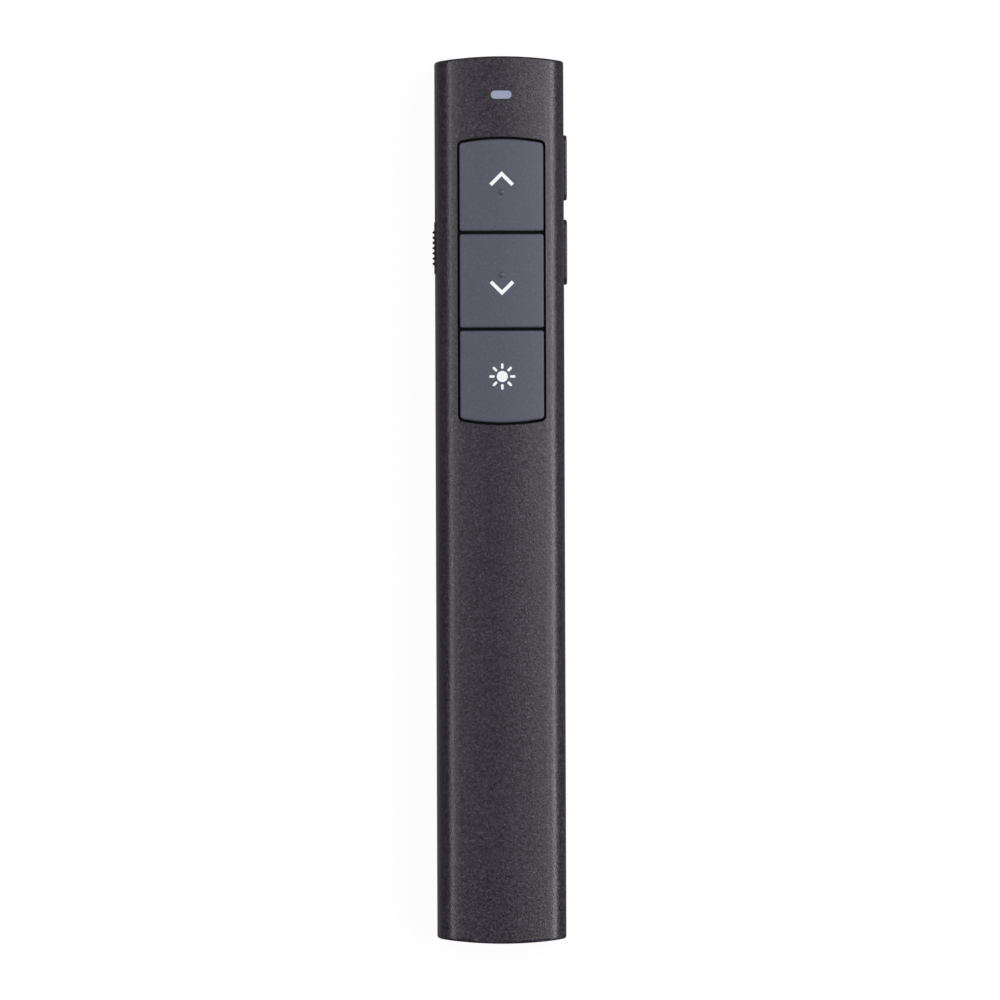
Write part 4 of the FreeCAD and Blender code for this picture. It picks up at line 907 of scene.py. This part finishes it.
@dataclass
class FaceKeys:
    """The three large keys and what is printed on them."""

    up_tip: float = 50.36 * MM
    down_tip: float = 31.36 * MM

    def build(self, wardrobe: Wardrobe) -> None:
        """Print the legends and dress the keys.

        Args:
            wardrobe: Makes the finishes and puts them on.
        """
        marks = [Chevron("up_mark", "page_up_key", "page_up_button", True, self.up_tip).build(),
                 Chevron("down_mark", "page_down_key", "page_down_button", False, self.down_tip).build(),
                 SunMark().build()]
        for mark in marks:
            wardrobe.dress(mark, INK_FINISH)
        wardrobe.dress_nodes(KEY_FINISH, "page_up_key", "page_down_key", "laser_key")
        wardrobe.dress_nodes(PLUNGER_FINISH, "page_up_plunger", "page_down_plunger", "laser_plunger")
        wardrobe.dress_nodes(SWITCH_FINISH, "page_up_switch", "page_down_switch", "laser_switch")


@dataclass
class Case:
    """The two shells, the battery cover and the screws under it."""

    def build(self, wardrobe: Wardrobe) -> None:
        """Dress the case.

        Args:
            wardrobe: Makes the finishes and puts them on.
        """
        wardrobe.dress_nodes(CASE_FINISH, "top_shell", "bottom_shell", "battery_cover")
        wardrobe.dress_nodes(STEEL_FINISH, "front_screw", "rear_screw")


@dataclass
class SideControls:
    """The side keys, the power slider and the switches behind them."""

    def build(self, wardrobe: Wardrobe) -> None:
        """Dress the side controls.

        Args:
            wardrobe: Makes the finishes and puts them on.
        """
        wardrobe.dress_nodes(CASE_FINISH, "upper_side_key", "lower_side_key", "power_slider")
        wardrobe.dress_nodes(PLUNGER_FINISH, "upper_side_plunger", "lower_side_plunger",
                             "power_switch_actuator")
        wardrobe.dress_nodes(SWITCH_FINISH, "upper_side_switch", "lower_side_switch", "power_switch")


@dataclass
class Electronics:
    """The board, what is soldered to it, the light pipe and the laser."""

    def build(self, wardrobe: Wardrobe) -> None:
        """Dress the electronics.

        Args:
            wardrobe: Makes the finishes and puts them on.
        """
        wardrobe.dress_nodes(BoardMask(), "main_board", "laser_driver")
        wardrobe.dress_nodes(CHIP_FINISH, "radio_chip")
        wardrobe.dress_nodes(CERAMIC_FINISH, "capacitor_1", "capacitor_2", "capacitor_3")
        wardrobe.dress_nodes(LAMP_FINISH, "status_lamp")
        wardrobe.dress_nodes(WINDOW_FINISH, "light_window")
        wardrobe.dress_nodes(BRASS_FINISH, "laser_barrel")
        wardrobe.dress_nodes(LENS_FINISH, "laser_lens")
        wardrobe.dress_nodes(APERTURE_FINISH, "laser_window")
        wardrobe.dress_nodes(STEEL_FINISH, "laser_diode", "crystal")
        wardrobe.dress_nodes(LEAD_FINISH, "laser_lead_left", "laser_lead_right", "battery_lead")


@dataclass
class Power:
    """The battery and its contacts."""

    def build(self, wardrobe: Wardrobe) -> None:
        """Dress the battery and its contacts.

        Args:
            wardrobe: Makes the finishes and puts them on.
        """
        wardrobe.dress_nodes(CellWrap(), "battery_cell")
        wardrobe.dress_nodes(STEEL_FINISH, "battery_spring", "positive_contact", "negative_contact")


@dataclass
class Receiver:
    """The receiver in the tail, with the gold contacts on its tongue."""

    contact_places: tuple[float, ...] = (-3.5 * MM, -1.0 * MM, 1.0 * MM, 3.5 * MM)
    contact_width: float = 1.1 * MM
    contact_length: float = 8.0 * MM
    contact_thickness: float = 0.12 * MM
    contact_inset: float = 0.8 * MM
    edge: float = 0.03 * MM
    edge_segments: int = 2
    tip_length: float = 0.4 * MM
    tip_width_share: float = 0.7
    tip_thickness_share: float = 0.4
    tip_facing: float = 0.9

    def build(self, wardrobe: Wardrobe) -> None:
        """Lay the contacts on the tongue and dress the receiver.

        Args:
            wardrobe: Makes the finishes and puts them on.
        """
        low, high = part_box("receiver_tongue")
        clear_selection()
        bpy.ops.mesh.primitive_cube_add(
            size=1.0, scale=(self.contact_width, self.contact_length, self.contact_thickness),
            location=(self.contact_places[0], high[1] - self.contact_inset - self.contact_length / 2,
                      low[2] - self.contact_thickness / 2))
        first = bpy.context.active_object
        first.name = "contact_strip"
        settle(first)
        self.ramp_tip(first)
        bevel = first.modifiers.new("edge", "BEVEL")
        bevel.width = self.edge
        bevel.segments = self.edge_segments
        apply_modifiers(first)
        for place in self.contact_places[1:]:
            copy = copy_piece(first)
            bpy.ops.transform.translate(value=(place - self.contact_places[0], 0, 0))
            settle(copy)
        join_named(first, first.name)
        merge_corners(first)
        face_outward(first)
        contacts = finish_piece(first, "receiver_contacts", "receiver")
        wardrobe.dress(contacts, GOLD_FINISH)
        wardrobe.dress_nodes(RECEIVER_FINISH, "receiver_head")
        wardrobe.dress_nodes(STEEL_FINISH, "receiver_plug")
        wardrobe.dress_nodes(TONGUE_FINISH, "receiver_tongue")

    def ramp_tip(self, strip: bpy.types.Object) -> None:
        """Draw in the strip's leading end, so that a socket's springs ride up onto it.

        Args:
            strip: The contact strip.
        """
        pick(strip, Element.FACE, lambda face: face.normal.y > self.tip_facing)
        bpy.ops.mesh.extrude_region_move(TRANSFORM_OT_translate={"value": (0, self.tip_length, 0)})
        bpy.ops.transform.resize(value=(self.tip_width_share, 1, self.tip_thickness_share))
        close_edit()


# The studio.


@dataclass(frozen=True)
class SoftLamp:
    """One long soft lamp over the clicker: its tilt in degrees and its sizes in metres."""

    name: str
    tilt: float
    width: float
    radiance: float
    distance: float = 0.9
    length: float = 1.4
    shift: float = 0.0

    def build(self) -> None:
        """Hang the lamp at its tilt from straight above, to the right where that is positive."""
        lamp = bpy.data.lights.new(self.name, "AREA")
        lamp.shape = "RECTANGLE"
        lamp.size = self.width
        lamp.size_y = self.length
        lamp.energy = self.radiance * math.pi * self.width * self.length
        holder = bpy.data.objects.new(self.name, lamp)
        bpy.context.scene.collection.objects.link(holder)
        tilt = math.radians(self.tilt)
        holder.location = (self.distance * math.sin(tilt), self.shift, self.distance * math.cos(tilt))
        holder.rotation_euler = (0.0, tilt, 0.0)


PANEL_WIDTH = 0.30
PANEL_LENGTH = 1.0
PANEL_SHIFT = 0.42

LAMPS = (
    SoftLamp("right_panel", 36.0, PANEL_WIDTH, 2.05, length=PANEL_LENGTH, shift=PANEL_SHIFT),
    SoftLamp("left_panel", -24.0, PANEL_WIDTH, 1.95, length=PANEL_LENGTH, shift=PANEL_SHIFT),
    SoftLamp("right_strip", 58.0, 0.14, 10.5),
    SoftLamp("left_strip", -52.0, 0.12, 7.0),
    SoftLamp("top_panel", 22.0, PANEL_WIDTH, 2.55, length=PANEL_LENGTH, shift=PANEL_SHIFT),
)


@dataclass
class Studio:
    """The pale table, the soft lamps and the camera over the clicker."""

    millimetres_per_pixel: float = 0.15321
    frame_pixels: int = 1000
    lens: float = 800.0
    sensor: float = 36.0
    lean: float = math.radians(2.8)
    turn: float = math.radians(-0.21)
    rim_height: float = 13.4 * MM
    aside: float = -0.38 * MM
    near_share: float = 0.1
    far_share: float = 10.0
    room_light: float = 0.10
    table_size: float = 6.0
    table_drop: float = 0.02 * MM
    table_shade: float = 0.08
    table_white: float = 0.94
    table_gloss: float = 0.12
    room_gloss: float = 0.04

    def build(self) -> None:
        """Set up the whole studio."""
        self.lay_table()
        self.light_room()
        for lamp in LAMPS:
            lamp.build()
        self.place_camera()
        bpy.context.scene.view_settings.view_transform = "Standard"

    @staticmethod
    def white_rays(sheet: NodeSheet, gloss: float) -> bpy.types.NodeSocket:
        """How white the surroundings look to a ray: fully to the camera and through glass.

        Args:
            sheet: The node sheet of the table's or the room's material.
            gloss: The share of that white which a reflection shows.

        Returns:
            The mask's socket.
        """
        path = sheet.add("ShaderNodeLightPath")
        glossy = sheet.compute("MULTIPLY", path.outputs["Is Glossy Ray"], gloss)
        seen = sheet.compute("MAXIMUM", path.outputs["Is Camera Ray"],
                             path.outputs["Is Transmission Ray"])
        return sheet.compute("MAXIMUM", seen, glossy)

    def lay_table(self) -> None:
        """Lay a large plane under the clicker that shows white and keeps a soft shadow."""
        clear_selection()
        bpy.ops.mesh.primitive_plane_add(size=self.table_size, location=(0, 0, -self.table_drop))
        table = bpy.context.active_object
        table.name = "table"
        material = bpy.data.materials.new("table_white")
        material.use_nodes = True
        material.node_tree.nodes.clear()
        sheet = NodeSheet(material.node_tree)
        card = sheet.add("ShaderNodeBsdfDiffuse")
        card.inputs["Color"].default_value = (self.table_shade,) * 3 + (1.0,)
        glow = sheet.add("ShaderNodeEmission")
        glow.inputs["Color"].default_value = (1.0, 1.0, 1.0, 1.0)
        sheet.join(sheet.compute("MULTIPLY", self.white_rays(sheet, self.table_gloss), self.table_white),
                   glow.inputs["Strength"])
        both = sheet.add("ShaderNodeAddShader")
        output = sheet.add("ShaderNodeOutputMaterial")
        sheet.join(card.outputs[0], both.inputs[0])
        sheet.join(glow.outputs[0], both.inputs[1])
        sheet.join(both.outputs[0], output.inputs["Surface"])
        table.data.materials.append(material)

    def light_room(self) -> None:
        """Fill the room with plain light, and show it white behind the table."""
        world = bpy.data.worlds.new("room")
        bpy.context.scene.world = world
        world.use_nodes = True
        world.node_tree.nodes.clear()
        sheet = NodeSheet(world.node_tree)
        room = sheet.add("ShaderNodeBackground")
        room.inputs["Strength"].default_value = self.room_light
        white = sheet.add("ShaderNodeBackground")
        white.inputs["Color"].default_value = (1.0, 1.0, 1.0, 1.0)
        white.inputs["Strength"].default_value = 1.0
        mix = sheet.add("ShaderNodeMixShader")
        output = sheet.add("ShaderNodeOutputWorld")
        sheet.join(self.white_rays(sheet, self.room_gloss), mix.inputs[0])
        sheet.join(room.outputs[0], mix.inputs[1])
        sheet.join(white.outputs[0], mix.inputs[2])
        sheet.join(mix.outputs[0], output.inputs["Surface"])

    def place_camera(self) -> None:
        """Hang the camera nearly straight above, leaning a little to the slider's side."""
        view = bpy.data.cameras.new("camera")
        view.lens = self.lens
        view.sensor_width = self.sensor
        width = self.millimetres_per_pixel * self.frame_pixels * MM
        distance = width * self.lens / self.sensor
        back = Vector((-math.sin(self.lean), 0.0, math.cos(self.lean)))
        up = Matrix.Rotation(self.turn, 3, back) @ Vector((0.0, 1.0, 0.0))
        right = up.cross(back)
        camera = bpy.data.objects.new("camera", view)
        bpy.context.scene.collection.objects.link(camera)
        place = Vector((0.0, 0.0, self.rim_height)) + right * self.aside + back * distance
        camera.matrix_world = Matrix((
            (right.x, up.x, back.x, place.x), (right.y, up.y, back.y, place.y),
            (right.z, up.z, back.z, place.z), (0.0, 0.0, 0.0, 1.0)))
        view.clip_start = distance * self.near_share
        view.clip_end = distance * self.far_share
        bpy.context.scene.camera = camera


def main() -> None:
    """Dress the clicker and set up its studio."""
    logging.basicConfig(level=logging.INFO, format="%(message)s")
    Studio().build()
    wardrobe = Wardrobe()
    for assembly in (Case(), FaceKeys(), SideControls(), Electronics(), Power(), Receiver()):
        assembly.build(wardrobe)


if __name__ == "__main__":
    main()
